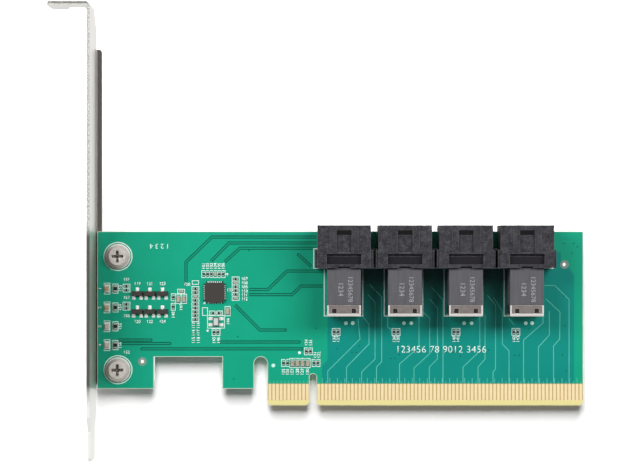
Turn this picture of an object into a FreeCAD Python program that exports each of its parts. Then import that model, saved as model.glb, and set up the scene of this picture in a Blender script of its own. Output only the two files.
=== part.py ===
import FreeCAD, Part
import math
import os
import Sketcher

# Adapter card for a sixteen-lane slot, with four cable sockets along its top edge.
# Millimetres. The card stands upright: +X runs from the bracket to the tail end,
# +Z runs from the contact edge up to the socket mouths, components face -Y.
# The origin is the middle of the key slot, at the contact edge, in the board's mid-plane.
# Each piece is drawn as if the card lay flat: x along the card, y up the card and
# z out of the component side. The placement then stands it upright.

SIZES = (
    # Circuit board
    ("board_thickness", 1.57),
    ("board_height", 46.5),
    ("left_lobe_width", 15.1),
    ("bottom_gap_width", 18.3),
    ("bottom_gap_top", 13.0),
    ("middle_lobe_width", 8.45),
    ("relief_slot_width", 3.6),
    ("relief_slot_top", 13.0),
    ("lobe_bottom", 4.5),
    ("key_width", 1.9),
    ("key_top", 8.5),
    ("tongue_margin", 0.65),
    ("tongue_corner_chamfer", 0.8),
    ("bevel_height", 1.3),
    ("bevel_depth", 0.45),
    ("fixture_hole_diameter", 1.0),
    ("left_fixture_inset", 3.1),
    ("left_fixture_rise", 7.25),
    ("right_fixture_inset", 5.0),
    ("right_fixture_drop", 8.85),
    # Edge contacts
    ("contact_pitch", 1.0),
    ("contact_width", 0.7),
    ("contact_length", 4.3),
    ("contact_thickness", 0.05),
    ("contact_setback", 0.15),
    ("key_to_contact", 1.5),
    ("short_contact_count", 11),
    ("long_contact_count", 71),
    # Bracket
    ("sheet_thickness", 0.86),
    ("fold_radius", 0.25),
    ("fold_clearance", 0.05),
    ("bracket_height", 120.02),
    ("bracket_drop", 13.8),
    ("component_side_depth", 16.0),
    ("tab_reach", 10.57),
    ("tab_width", 12.5),
    ("tab_corner_radius", 1.6),
    ("notch_width", 4.6),
    ("notch_depth", 4.9),
    ("notch_setback", 3.54),
    ("upper_straight", 0.6),
    ("upper_slope", 4.0),
    ("lip_reach", 1.4),
    ("lip_top_drop", 11.0),
    ("lip_corner_radius", 0.9),
    ("tongue_length", 7.9),
    ("tongue_width", 10.2),
    ("tongue_inset", 3.2),
    ("tongue_tip_radius", 1.2),
    ("shoulder_slope", 4.0),
    ("screw_tab_width", 8.0),
    ("screw_tab_reach", 3.6),
    ("screw_tab_radius", 1.2),
    # Bracket screws
    ("screw_inset", 5.53),
    ("upper_screw_drop", 6.7),
    ("lower_screw_rise", 5.06),
    ("screw_diameter", 3.0),
    ("screw_hole_clearance", 0.1),
    ("thread_clearance", 0.03),
    ("screw_protrusion", 1.2),
    ("screw_head_diameter", 6.0),
    ("screw_head_height", 2.0),
    ("screw_head_chamfer", 0.7),
    ("recess_span", 3.1),
    ("recess_arm", 0.8),
    ("recess_depth", 1.3),
    # Socket housings
    ("first_socket_x", 8.16),
    ("socket_gap", 0.7),
    ("mouth_overhang", 1.55),
    ("head_width", 14.0),
    ("head_height", 11.0),
    ("head_length", 11.15),
    ("ear_step", 0.65),
    ("ear_length", 4.7),
    ("ear_drop", 0.6),
    ("side_wall", 1.1),
    ("floor_wall", 1.3),
    ("roof_wall", 1.4),
    ("mouth_depth", 5.0),
    ("mouth_chamfer", 0.4),
    ("card_slot_margin", 1.3),
    ("card_slot_height", 1.7),
    ("card_slot_spacing", 3.6),
    ("latch_width", 3.92),
    ("latch_setback", 1.25),
    ("latch_length", 1.3),
    ("panel_length", 4.6),
    ("panel_depth", 0.35),
    ("spine_width", 7.6),
    ("spine_height", 0.25),
    ("window_margin", 0.16),
    ("window_length", 2.75),
    ("rear_strip", 0.9),
    ("rear_notch_width", 3.1),
    ("rear_notch_length", 0.4),
    # Wafer stacks, rear clips and spring contacts
    ("wafer_width", 8.83),
    ("wafer_drop", 1.1),
    ("wafer_clearance", 0.03),
    ("nose_depth", 2.9),
    ("tail_length", 12.75),
    ("clip_thickness", 0.3),
    ("clip_length", 2.95),
    ("clip_clearance", 0.02),
    ("clip_peg_size", 1.05),
    ("clip_peg_spacing", 5.1),
    ("clip_peg_setback", 1.45),
    ("clip_peg_clearance", 0.06),
    ("spring_pitch", 0.75),
    ("spring_count", 9),
    ("spring_width", 0.4),
    ("spring_thickness", 0.2),
    ("spring_setback", 0.4),
    # Chip resistors and capacitors
    ("small_chip_length", 1.0),
    ("small_chip_width", 0.5),
    ("small_chip_height", 0.35),
    ("small_chip_cap", 0.25),
    ("small_chip_gap", 0.53),
    ("large_chip_length", 1.6),
    ("large_chip_width", 0.8),
    ("large_chip_height", 0.55),
    ("large_chip_cap", 0.35),
    ("large_chip_gap", 0.56),
    # Indicator lamps
    ("led_inset", 2.6),
    ("led_pitch", 5.03),
    ("led_column_drop", 1.0),
    ("led_length", 2.0),
    ("led_width", 1.25),
    ("led_base_height", 0.35),
    ("led_terminal_length", 0.4),
    ("led_lens_margin", 0.1),
    ("led_lens_height", 0.45),
    ("led_lens_draft", 8.0),
    ("led_resistor_gap", 1.23),
    ("driver_resistor_gap", 2.04),
    ("driver_resistor_rise", 1.45),
    # Driver transistors
    ("driver_drop", 19.0),
    ("transistor_length", 3.0),
    ("transistor_width", 1.35),
    ("transistor_height", 0.95),
    ("transistor_draft", 7.0),
    ("transistor_lift", 0.08),
    ("transistor_gap", 0.35),
    ("transistor_row_gap", 3.45),
    ("driver_gap", 0.9),
    ("lead_width", 0.42),
    ("lead_thickness", 0.12),
    ("lead_reach", 0.55),
    ("lead_foot", 0.35),
    ("lead_level", 0.45),
    ("lead_spacing", 1.95),
    # Clock chip and its surroundings
    ("pull_up_gap", 1.15),
    ("pull_up_rise", 0.15),
    ("bulk_gap", 0.68),
    ("bulk_rise", 1.0),
    ("bulk_chip_gap", 0.72),
    ("bulk_link_rise", 1.2),
    ("clock_gap", 5.205),
    ("clock_drop", 16.27),
    ("clock_size", 5.2),
    ("clock_height", 0.85),
    ("clock_corner", 0.5),
    ("clock_land_pitch", 0.5),
    ("clock_land_count", 8),
    ("clock_land_width", 0.26),
    ("clock_land_length", 0.6),
    ("clock_land_overhang", 0.35),
    ("land_thickness", 0.04),
    ("left_column_gap", 2.05),
    ("left_column_rise", 1.0),
    ("top_row_gap", 1.77),
    ("top_row_shift", 0.33),
    ("right_column_gap", 2.5),
    ("right_column_rise", 3.57),
    ("load_pair_gap", 2.68),
    ("crystal_gap", 0.97),
    ("crystal_shift", 0.35),
    ("crystal_width", 1.7),
    ("crystal_length", 2.4),
    ("crystal_height", 0.45),
    ("crystal_lid_margin", 0.28),
    ("crystal_lid_height", 0.2),
    ("crystal_land_width", 1.27),
    ("crystal_land_length", 0.85),
    ("crystal_land_overlap", 0.12),
    ("crystal_land_spacing", 1.62),
    ("bias_pair_gap", 1.1),
    ("supply_chip_gap", 1.435),
    ("supply_chip_drop", 1.63),
    # Filter row beside the key and resistor pairs below the sockets
    ("filter_rise", 5.6),
    ("filter_from_key", 5.53),
    ("filter_left_gap", 0.63),
    ("filter_right_gap", 1.09),
    ("filter_pair_rise", 1.82),
    ("filter_pair_from_key", 1.76),
    ("socket_pair_drop", 4.0),
    ("socket_pair_shift", 2.0),
)

doc = FreeCAD.newDocument("adapter_card")
sheet = doc.addObject("Spreadsheet::Sheet", "Sizes")
for row, (alias, number) in enumerate(SIZES, start=1):
    sheet.set(f"A{row}", alias)
    sheet.set(f"B{row}", str(number))
    sheet.setAlias(f"B{row}", alias)
doc.recompute()

UPRIGHT = FreeCAD.Rotation(FreeCAD.Vector(1, 0, 0), 90)
SOCKETS = range(4)
TOLERANCE = 0.0001
nodes = []


def size(expression):
    """The present value of a sum of named sizes."""
    return float(sheet.evalExpression(expression))


# Places shared by several pieces, each a sum of named sizes.
FRONT = "(Sizes.board_thickness / 2)"
BACK = f"(0 - {FRONT})"
SHORT_SPAN = "((Sizes.short_contact_count - 1) * Sizes.contact_pitch)"
LONG_SPAN = "((Sizes.long_contact_count - 1) * Sizes.contact_pitch)"
TONGUE_LEFT = f"(0 - Sizes.key_to_contact - {SHORT_SPAN} - Sizes.tongue_margin)"
BOARD_RIGHT = f"(Sizes.key_to_contact + {LONG_SPAN} + Sizes.tongue_margin)"
RELIEF_LEFT = f"({TONGUE_LEFT} - Sizes.relief_slot_width)"
GAP_RIGHT = f"({RELIEF_LEFT} - Sizes.middle_lobe_width)"
GAP_LEFT = f"({GAP_RIGHT} - Sizes.bottom_gap_width)"
BOARD_LEFT = f"({GAP_LEFT} - Sizes.left_lobe_width)"

SCREW_X = f"({BOARD_LEFT} + Sizes.screw_inset)"
UPPER_SCREW_Y = "(Sizes.board_height - Sizes.upper_screw_drop)"
LOWER_SCREW_Y = "(Sizes.lobe_bottom + Sizes.lower_screw_rise)"

MOUTH_Y = "(Sizes.board_height + Sizes.mouth_overhang)"
EAR_WIDTH = "(Sizes.head_width + 2 * Sizes.ear_step)"
SOCKET_PITCH = f"({EAR_WIDTH} + Sizes.socket_gap)"
SOCKET_LENGTH = "(Sizes.head_length + Sizes.tail_length)"
WAFER_HEIGHT = "(Sizes.head_height - Sizes.wafer_drop)"
NOSE_FRONT = "(Sizes.nose_depth - Sizes.head_length)"


def socket_x(number):
    return f"(Sizes.first_socket_x + {number} * {SOCKET_PITCH})"


# Drawing helpers


def new_body(label, x="0", y="0", z="0"):
    """A solid piece whose own origin lies at x, y, z of the flat card."""
    body = doc.addObject("PartDesign::Body", label)
    body.Label = label
    body.Placement = FreeCAD.Placement(FreeCAD.Vector(), UPRIGHT)
    body.setExpression("Placement.Base.x", x)
    body.setExpression("Placement.Base.y", f"0 - {z}")
    body.setExpression("Placement.Base.z", y)
    nodes.append(body)
    return body


def new_sketch(body, role, offset="0"):
    """An empty sketch on one of the body's own planes, moved along its normal."""
    sketch = body.newObject("Sketcher::SketchObject", "outline")
    plane = next(feature for feature in body.Origin.OriginFeatures if feature.Role == role)
    sketch.AttachmentSupport = [(plane, "")]
    sketch.MapMode = "FlatFace"
    sketch.setExpression("AttachmentOffset.Base.z", offset)
    return sketch


def hold(sketch, kind, *where):
    """A driving dimension of the sketch; the last argument is its sum of sizes."""
    constraint = Sketcher.Constraint(kind, *where[:-1], size(where[-1]))
    index = sketch.addConstraint(constraint)
    sketch.setExpression(f"Constraints[{index}]", where[-1])


def add_outline(sketch, corners):
    """A closed outline of straight edges through the corners."""
    points = [FreeCAD.Vector(size(x), size(y), 0) for x, y in corners]
    first = sketch.GeometryCount
    for start, end in zip(points, points[1:] + points[:1]):
        sketch.addGeometry(Part.LineSegment(start, end))
    for index, (x, y) in enumerate(corners):
        before = first + (index - 1) % len(corners)
        sketch.addConstraint(Sketcher.Constraint("Coincident", before, 2, first + index, 1))
        hold(sketch, "DistanceX", first + index, 1, x)
        hold(sketch, "DistanceY", first + index, 1, y)


def add_rectangle(sketch, left, right, bottom, top):
    add_outline(sketch, [(left, bottom), (right, bottom), (right, top), (left, top)])


def add_centred(sketch, x, y, width, height):
    """A rectangle about a middle point."""
    half_width = f"({width}) / 2"
    half_height = f"({height}) / 2"
    add_rectangle(
        sketch, f"{x} - {half_width}", f"{x} + {half_width}",
        f"{y} - {half_height}", f"{y} + {half_height}",
    )


def add_circle(sketch, x, y, diameter):
    middle = FreeCAD.Vector(size(x), size(y), 0)
    circle = Part.Circle(middle, FreeCAD.Vector(0, 0, 1), size(diameter) / 2)
    index = sketch.addGeometry(circle)
    hold(sketch, "DistanceX", index, 3, x)
    hold(sketch, "DistanceY", index, 3, y)
    hold(sketch, "Diameter", index, diameter)


def add_notch(sketch, x, width, bottom, top):
    """A slot that is open at the bottom and has a full round at the top."""
    middle = FreeCAD.Vector(size(x), size(top) - size(width) / 2, 0)
    radius = size(width) / 2
    left = middle.x - radius
    right = middle.x + radius
    low = size(bottom)
    arc = Part.ArcOfCircle(Part.Circle(middle, FreeCAD.Vector(0, 0, 1), radius), 0, math.pi)
    round_top = sketch.addGeometry(arc)
    left_side = sketch.addGeometry(
        Part.LineSegment(FreeCAD.Vector(left, middle.y, 0), FreeCAD.Vector(left, low, 0)))
    base = sketch.addGeometry(
        Part.LineSegment(FreeCAD.Vector(left, low, 0), FreeCAD.Vector(right, low, 0)))
    right_side = sketch.addGeometry(
        Part.LineSegment(FreeCAD.Vector(right, low, 0), FreeCAD.Vector(right, middle.y, 0)))
    sketch.addConstraint([
        Sketcher.Constraint("Tangent", round_top, 2, left_side, 1),
        Sketcher.Constraint("Coincident", left_side, 2, base, 1),
        Sketcher.Constraint("Coincident", base, 2, right_side, 1),
        Sketcher.Constraint("Tangent", right_side, 2, round_top, 1),
        Sketcher.Constraint("Vertical", left_side),
        Sketcher.Constraint("Vertical", right_side),
        Sketcher.Constraint("Horizontal", base),
    ])
    hold(sketch, "DistanceX", round_top, 3, x)
    hold(sketch, "DistanceY", round_top, 3, f"{top} - ({width}) / 2")
    hold(sketch, "Radius", round_top, f"({width}) / 2")
    hold(sketch, "DistanceY", base, 1, bottom)


def pad(body, sketch, length, reverse=False, symmetric=False, draft=None):
    """Material along the sketch's normal."""
    feature = body.newObject("PartDesign::Pad", "pad")
    feature.Profile = sketch
    feature.setExpression("Length", length)
    feature.Reversed = reverse
    if symmetric:
        feature.SideType = "Symmetric"
    if draft:
        feature.setExpression("TaperAngle", f"0 - {draft}")
    doc.recompute()
    return feature


def pocket(body, sketch, depth=None, reverse=False, symmetric=False):
    """A cut to a depth, or right through where no depth is given."""
    before = body.Shape.Volume
    feature = body.newObject("PartDesign::Pocket", "pocket")
    feature.Profile = sketch
    feature.Reversed = reverse
    if symmetric:
        feature.SideType = "Symmetric"
    if depth is None:
        feature.Type = "ThroughAll"
    else:
        feature.setExpression("Length", depth)
    doc.recompute()
    if not body.Shape.Volume < before:
        raise RuntimeError(f"a cut of {body.Label} removed nothing")
    return feature


def edges_along(body, axis, places):
    """The straight edges along one axis that pass through the places on the other two."""
    others = [name for name in "xyz" if name != axis]
    targets = [(size(first), size(second)) for first, second in places]
    chosen = []
    for index, edge in enumerate(body.Tip.Shape.Edges, start=1):
        if not isinstance(edge.Curve, Part.Line):
            continue
        if abs(abs(getattr(edge.Curve.Direction, axis)) - 1) > TOLERANCE:
            continue
        middle = edge.CenterOfMass
        spot = [getattr(middle, name) for name in others]
        if any(abs(spot[0] - a) + abs(spot[1] - b) < TOLERANCE for a, b in targets):
            chosen.append(f"Edge{index}")
    if not chosen:
        raise RuntimeError(f"no such edge on {body.Label}")
    return chosen


def dress(body, kind, edges, property_name, amount):
    """A fillet or chamfer on named edges of the body's present shape."""
    base = body.Tip
    feature = body.newObject(kind, "edge_dressing")
    feature.Base = (base, edges)
    feature.setExpression(property_name, amount)
    doc.recompute()


def fillet(body, axis, places, radius):
    dress(body, "PartDesign::Fillet", edges_along(body, axis, places), "Radius", radius)


def pattern(body, feature, sketch, step, count):
    """Copies of a feature along the sketch's width."""
    copies = body.newObject("PartDesign::LinearPattern", "row")
    copies.Originals = [feature]
    copies.Refine = False
    copies.Direction = (sketch, ["H_Axis"])
    copies.Mode = "Spacing"
    copies.setExpression("Offset", step)
    copies.setExpression("Occurrences", count)
    body.Tip = copies
    doc.recompute()


def block(x, y, z, length, width, height):
    """A small rectangular piece with its middle at x, y and its underside at z."""
    box = doc.addObject("Part::Box", "block")
    box.Placement = FreeCAD.Placement(FreeCAD.Vector(), UPRIGHT)
    box.setExpression("Length", length)
    box.setExpression("Width", width)
    box.setExpression("Height", height)
    box.setExpression("Placement.Base.x", f"{x} - ({length}) / 2")
    box.setExpression("Placement.Base.y", f"0 - ({z})")
    box.setExpression("Placement.Base.z", f"{y} - ({width}) / 2")
    return box


def group(label, pieces):
    """Separate like pieces kept together under one name."""
    compound = doc.addObject("Part::Compound", label)
    compound.Label = label
    compound.Links = pieces
    nodes.append(compound)


# Circuit board: one routed sheet of glass epoxy with a bevelled contact tongue.


def make_board():
    body = new_body("circuit_board")
    outline = new_sketch(body, "XY_Plane")
    add_outline(outline, [
        (BOARD_LEFT, "Sizes.lobe_bottom"),
        (GAP_LEFT, "Sizes.lobe_bottom"),
        (GAP_LEFT, "Sizes.bottom_gap_top"),
        (GAP_RIGHT, "Sizes.bottom_gap_top"),
        (GAP_RIGHT, "Sizes.lobe_bottom"),
        (TONGUE_LEFT, "Sizes.lobe_bottom"),
        (TONGUE_LEFT, "0"),
        (BOARD_RIGHT, "0"),
        (BOARD_RIGHT, "Sizes.board_height"),
        (BOARD_LEFT, "Sizes.board_height"),
    ])
    pad(body, outline, "Sizes.board_thickness", symmetric=True)

    slots = new_sketch(body, "XY_Plane")
    add_notch(slots, "0", "Sizes.key_width", "0", "Sizes.key_top")
    relief_middle = f"({TONGUE_LEFT} + {RELIEF_LEFT}) / 2"
    add_notch(slots, relief_middle, "Sizes.relief_slot_width", "0", "Sizes.relief_slot_top")
    pocket(body, slots, symmetric=True)

    corners = [TONGUE_LEFT, "0 - Sizes.key_width / 2", "Sizes.key_width / 2", BOARD_RIGHT]
    tips = edges_along(body, "z", [(x, "0") for x in corners])
    dress(body, "PartDesign::Chamfer", tips, "Size", "Sizes.tongue_corner_chamfer")

    bevel = new_sketch(body, "YZ_Plane")
    for side in ("0 - ", ""):
        add_outline(bevel, [
            ("0", f"{side}{FRONT}"),
            ("Sizes.bevel_height", f"{side}{FRONT}"),
            ("0", f"{side}({FRONT} - Sizes.bevel_depth)"),
        ])
    pocket(body, bevel, symmetric=True)

    holes = new_sketch(body, "XY_Plane")
    screw_hole = "Sizes.screw_diameter + 2 * Sizes.screw_hole_clearance"
    for y in (UPPER_SCREW_Y, LOWER_SCREW_Y):
        add_circle(holes, SCREW_X, y, screw_hole)
    add_circle(
        holes, f"{GAP_LEFT} - Sizes.left_fixture_inset",
        "Sizes.lobe_bottom + Sizes.left_fixture_rise", "Sizes.fixture_hole_diameter")
    add_circle(
        holes, f"{BOARD_RIGHT} - Sizes.right_fixture_inset",
        "Sizes.board_height - Sizes.right_fixture_drop", "Sizes.fixture_hole_diameter")
    pocket(body, holes, symmetric=True)


# Edge contacts: flat gilded strips in two rows, parted by the key slot.


def make_edge_contacts(label, level):
    body = new_body(label, z=level)
    bottom = "Sizes.bevel_height + Sizes.contact_setback"
    middle = f"{bottom} + Sizes.contact_length / 2"
    rows = (
        (f"0 - Sizes.key_to_contact - {SHORT_SPAN}", "Sizes.short_contact_count"),
        ("Sizes.key_to_contact", "Sizes.long_contact_count"),
    )
    for first, count in rows:
        strip = new_sketch(body, "XY_Plane")
        add_centred(strip, first, middle, "Sizes.contact_width", "Sizes.contact_length")
        feature = pad(body, strip, "Sizes.contact_thickness")
        pattern(body, feature, strip, "Sizes.contact_pitch", count)


# Bracket: one folded steel sheet. The plate stands across the card's end, the top tab
# folds outward with its screw notch, the back lip and screw tabs fold behind the board.


def make_bracket():
    body = new_body("mounting_bracket")
    inner = f"({BOARD_LEFT} - Sizes.fold_radius - Sizes.fold_clearance)"
    outer = f"({inner} - Sizes.sheet_thickness)"
    top = "(Sizes.bracket_height - Sizes.bracket_drop)"
    tip = "(0 - Sizes.bracket_drop)"
    near = f"({FRONT} + Sizes.component_side_depth)"
    tab_back = f"({near} - Sizes.tab_width)"
    plate_back = "0"
    outside_radius = "(Sizes.fold_radius + Sizes.sheet_thickness)"
    slope_top = f"({top} - {outside_radius} - Sizes.upper_straight)"
    lip_back = f"({BACK} - Sizes.sheet_thickness)"
    lip_top = f"({top} - Sizes.lip_top_drop)"
    lip_bottom = f"({LOWER_SCREW_Y} - Sizes.screw_tab_width / 2)"
    tongue_top = f"({tip} + Sizes.tongue_length)"
    shoulder = f"({tongue_top} + Sizes.shoulder_slope)"
    tongue_near = f"({near} - Sizes.tongue_inset)"
    tongue_back = f"({tongue_near} - Sizes.tongue_width)"

    plate = new_sketch(body, "YZ_Plane", outer)
    add_outline(plate, [
        (top, near),
        (top, tab_back),
        (slope_top, tab_back),
        (f"{slope_top} - Sizes.upper_slope", plate_back),
        (lip_top, plate_back),
        (lip_top, lip_back),
        (lip_bottom, lip_back),
        (lip_bottom, plate_back),
        (shoulder, plate_back),
        (tongue_top, tongue_back),
        (tip, tongue_back),
        (tip, tongue_near),
        (tongue_top, tongue_near),
        (shoulder, near),
    ])
    pad(body, plate, "Sizes.sheet_thickness")
    fillet(body, "x", [(tip, tongue_back), (tip, tongue_near)], "Sizes.tongue_tip_radius")

    tab_end = f"({outer} - Sizes.tab_reach)"
    tab = new_sketch(body, "XZ_Plane", f"0 - {top}")
    add_rectangle(tab, tab_end, inner, tab_back, near)
    pad(body, tab, "Sizes.sheet_thickness")
    fillet(body, "y", [(tab_end, tab_back), (tab_end, near)], "Sizes.tab_corner_radius")

    lip_end = f"({inner} + Sizes.lip_reach)"
    screw_tab_end = f"({SCREW_X} + Sizes.screw_tab_reach)"
    half_tab = "Sizes.screw_tab_width / 2"
    lip = new_sketch(body, "XY_Plane", BACK)
    add_outline(lip, [
        (outer, lip_bottom),
        (screw_tab_end, lip_bottom),
        (screw_tab_end, f"{LOWER_SCREW_Y} + {half_tab}"),
        (lip_end, f"{LOWER_SCREW_Y} + {half_tab}"),
        (lip_end, f"{UPPER_SCREW_Y} - {half_tab}"),
        (screw_tab_end, f"{UPPER_SCREW_Y} - {half_tab}"),
        (screw_tab_end, f"{UPPER_SCREW_Y} + {half_tab}"),
        (lip_end, f"{UPPER_SCREW_Y} + {half_tab}"),
        (lip_end, lip_top),
        (outer, lip_top),
    ])
    pad(body, lip, "Sizes.sheet_thickness", reverse=True)
    tab_corners = [
        (screw_tab_end, f"{screw_y} {side} {half_tab}")
        for screw_y in (LOWER_SCREW_Y, UPPER_SCREW_Y) for side in "-+"
    ]
    fillet(body, "z", tab_corners, "Sizes.screw_tab_radius")
    fillet(body, "z", [(lip_end, lip_top)], "Sizes.lip_corner_radius")

    fillet(body, "y", [(outer, lip_back)], outside_radius)
    fillet(body, "y", [(inner, BACK)], "Sizes.fold_radius")
    fillet(body, "z", [(inner, top)], outside_radius)
    fillet(body, "z", [(outer, f"{top} - Sizes.sheet_thickness")], "Sizes.fold_radius")

    notch = new_sketch(body, "XZ_Plane", f"0 - {top}")
    notch_top = f"{tab_back} + Sizes.notch_depth"
    add_notch(notch, f"{outer} - Sizes.notch_setback", "Sizes.notch_width", tab_back, notch_top)
    pocket(body, notch, "Sizes.sheet_thickness", reverse=True)

    taps = new_sketch(body, "XY_Plane", BACK)
    tapped_hole = "Sizes.screw_diameter + 2 * Sizes.thread_clearance"
    for y in (LOWER_SCREW_Y, UPPER_SCREW_Y):
        add_circle(taps, SCREW_X, y, tapped_hole)
    pocket(body, taps, "Sizes.sheet_thickness")


# Bracket screw: pan head with a cross recess, through the board into the screw tab.


def make_screw(label, y):
    body = new_body(label, SCREW_X, y, FRONT)
    shank = new_sketch(body, "XY_Plane")
    add_circle(shank, "0", "0", "Sizes.screw_diameter")
    shank_length = "Sizes.board_thickness + Sizes.sheet_thickness + Sizes.screw_protrusion"
    pad(body, shank, shank_length, reverse=True)
    head = new_sketch(body, "XY_Plane")
    add_circle(head, "0", "0", "Sizes.screw_head_diameter")
    pad(body, head, "Sizes.screw_head_height")
    rims = [
        f"Edge{index}" for index, edge in enumerate(body.Tip.Shape.Edges, start=1)
        if edge.BoundBox.ZMin > size("Sizes.screw_head_height") - TOLERANCE
    ]
    dress(body, "PartDesign::Chamfer", rims, "Size", "Sizes.screw_head_chamfer")
    recess = new_sketch(body, "XY_Plane", "Sizes.screw_head_height")
    arm = "Sizes.recess_arm / 2"
    reach = "Sizes.recess_span / 2"
    add_outline(recess, [
        (f"0 - {arm}", f"0 - {reach}"), (arm, f"0 - {reach}"), (arm, f"0 - {arm}"),
        (reach, f"0 - {arm}"), (reach, arm), (arm, arm),
        (arm, reach), (f"0 - {arm}", reach), (f"0 - {arm}", arm),
        (f"0 - {reach}", arm), (f"0 - {reach}", f"0 - {arm}"), (f"0 - {arm}", f"0 - {arm}"),
    ])
    pocket(body, recess, "Sizes.recess_depth")


# Socket housing: a moulded shroud that stands over the board's top edge. Its mouth leads
# to two card slots. The roof has a latch window, a recessed panel and a wide rear window.


def make_housing(number):
    body = new_body(f"socket_{number + 1}_housing", socket_x(number), MOUTH_Y, FRONT)
    half_head = "Sizes.head_width / 2"
    rear = "0 - Sizes.head_length"

    head = new_sketch(body, "XY_Plane")
    add_rectangle(head, f"0 - {half_head}", half_head, rear, "0")
    pad(body, head, "Sizes.head_height")
    ears = new_sketch(body, "XY_Plane")
    half_ears = f"{EAR_WIDTH} / 2"
    add_rectangle(ears, f"0 - {half_ears}", half_ears, rear, f"{rear} + Sizes.ear_length")
    pad(body, ears, "Sizes.head_height - Sizes.ear_drop")

    spine = new_sketch(body, "XY_Plane", "Sizes.head_height")
    panel_end = "(0 - Sizes.latch_setback - Sizes.latch_length - Sizes.panel_length)"
    half_spine = "Sizes.spine_width / 2"
    add_rectangle(spine, f"0 - {half_spine}", half_spine, panel_end, "0")
    pad(body, spine, "Sizes.spine_height")

    cavity_width = "(Sizes.head_width - 2 * Sizes.side_wall)"
    cavity_top = "(Sizes.head_height - Sizes.roof_wall)"
    half_cavity = f"{cavity_width} / 2"
    cavity = new_sketch(body, "XZ_Plane")
    add_rectangle(cavity, f"0 - {half_cavity}", half_cavity, "Sizes.floor_wall", cavity_top)
    pocket(body, cavity, "Sizes.mouth_depth", reverse=True)
    rims = edges_along(body, "z", [(f"0 - {half_cavity}", "0"), (half_cavity, "0")])
    rims += edges_along(body, "x", [("0", "Sizes.floor_wall"), ("0", cavity_top)])
    dress(body, "PartDesign::Chamfer", rims, "Size", "Sizes.mouth_chamfer")

    slots = new_sketch(body, "XZ_Plane", "Sizes.mouth_depth")
    slot_width = f"{cavity_width} - 2 * Sizes.card_slot_margin"
    for middle in card_slot_levels():
        add_centred(slots, "0", middle, slot_width, "Sizes.card_slot_height")
    pocket(body, slots, "Sizes.head_length - Sizes.nose_depth - Sizes.mouth_depth", reverse=True)

    nose = new_sketch(body, "XZ_Plane", "Sizes.head_length")
    half_nose = "Sizes.wafer_width / 2 + Sizes.wafer_clearance"
    nose_top = f"{WAFER_HEIGHT} + Sizes.wafer_clearance"
    add_rectangle(nose, f"0 - ({half_nose})", half_nose, "0", nose_top)
    pocket(body, nose, "Sizes.nose_depth")

    latch = new_sketch(body, "XY_Plane", "Sizes.head_height + Sizes.spine_height")
    half_latch = "Sizes.latch_width / 2"
    latch_front = "0 - Sizes.latch_setback"
    latch_back = f"{latch_front} - Sizes.latch_length"
    add_rectangle(latch, f"0 - {half_latch}", half_latch, latch_back, latch_front)
    pocket(body, latch, "Sizes.roof_wall + Sizes.spine_height")
    panel = new_sketch(body, "XY_Plane", "Sizes.head_height + Sizes.spine_height")
    add_rectangle(panel, f"0 - {half_latch}", half_latch, panel_end, latch_back)
    pocket(body, panel, "Sizes.panel_depth + Sizes.spine_height")

    window = new_sketch(body, "XY_Plane", "Sizes.head_height")
    half_window = "Sizes.wafer_width / 2 + Sizes.window_margin"
    window_back = f"{rear} + Sizes.rear_strip"
    add_rectangle(
        window, f"0 - ({half_window})", half_window,
        window_back, f"{window_back} + Sizes.window_length")
    half_notch = "Sizes.rear_notch_width / 2"
    add_rectangle(window, f"0 - {half_notch}", half_notch, rear, f"{rear} + Sizes.rear_notch_length")
    pocket(body, window, "Sizes.wafer_drop")


def card_slot_levels():
    """The heights of the two card slots, either side of the mouth's middle."""
    middle = "((Sizes.floor_wall + Sizes.head_height - Sizes.roof_wall) / 2)"
    return [f"({middle} {side} Sizes.card_slot_spacing / 2)" for side in "-+"]


# Wafer stack: the block of moulded contact wafers behind the housing. Its nose is held in
# the housing, and its end has a seat with two pegs for the rear clip.


def make_wafer_stack(number):
    body = new_body(f"socket_{number + 1}_wafer_stack", socket_x(number), MOUTH_Y, FRONT)
    end = f"(Sizes.clip_thickness - {SOCKET_LENGTH})"
    seat = f"(Sizes.clip_length - {SOCKET_LENGTH})"
    seat_level = f"({WAFER_HEIGHT} - Sizes.clip_thickness)"
    profile = new_sketch(body, "YZ_Plane")
    add_outline(profile, [
        (NOSE_FRONT, "0"),
        (NOSE_FRONT, WAFER_HEIGHT),
        (seat, WAFER_HEIGHT),
        (seat, seat_level),
        (end, seat_level),
        (end, "0"),
    ])
    pad(body, profile, "Sizes.wafer_width", symmetric=True)
    pegs = new_sketch(body, "XY_Plane", seat_level)
    add_clip_pegs(pegs, "Sizes.clip_peg_size")
    pad(body, pegs, "Sizes.clip_thickness")


def add_clip_pegs(sketch, peg_size):
    for side in ("0 - ", ""):
        add_centred(
            sketch, f"{side}Sizes.clip_peg_spacing / 2",
            f"(Sizes.clip_peg_setback - {SOCKET_LENGTH})", peg_size, peg_size)


# Rear clip: a stamped angle that ties the wafers together, over their pegs and end.


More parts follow.
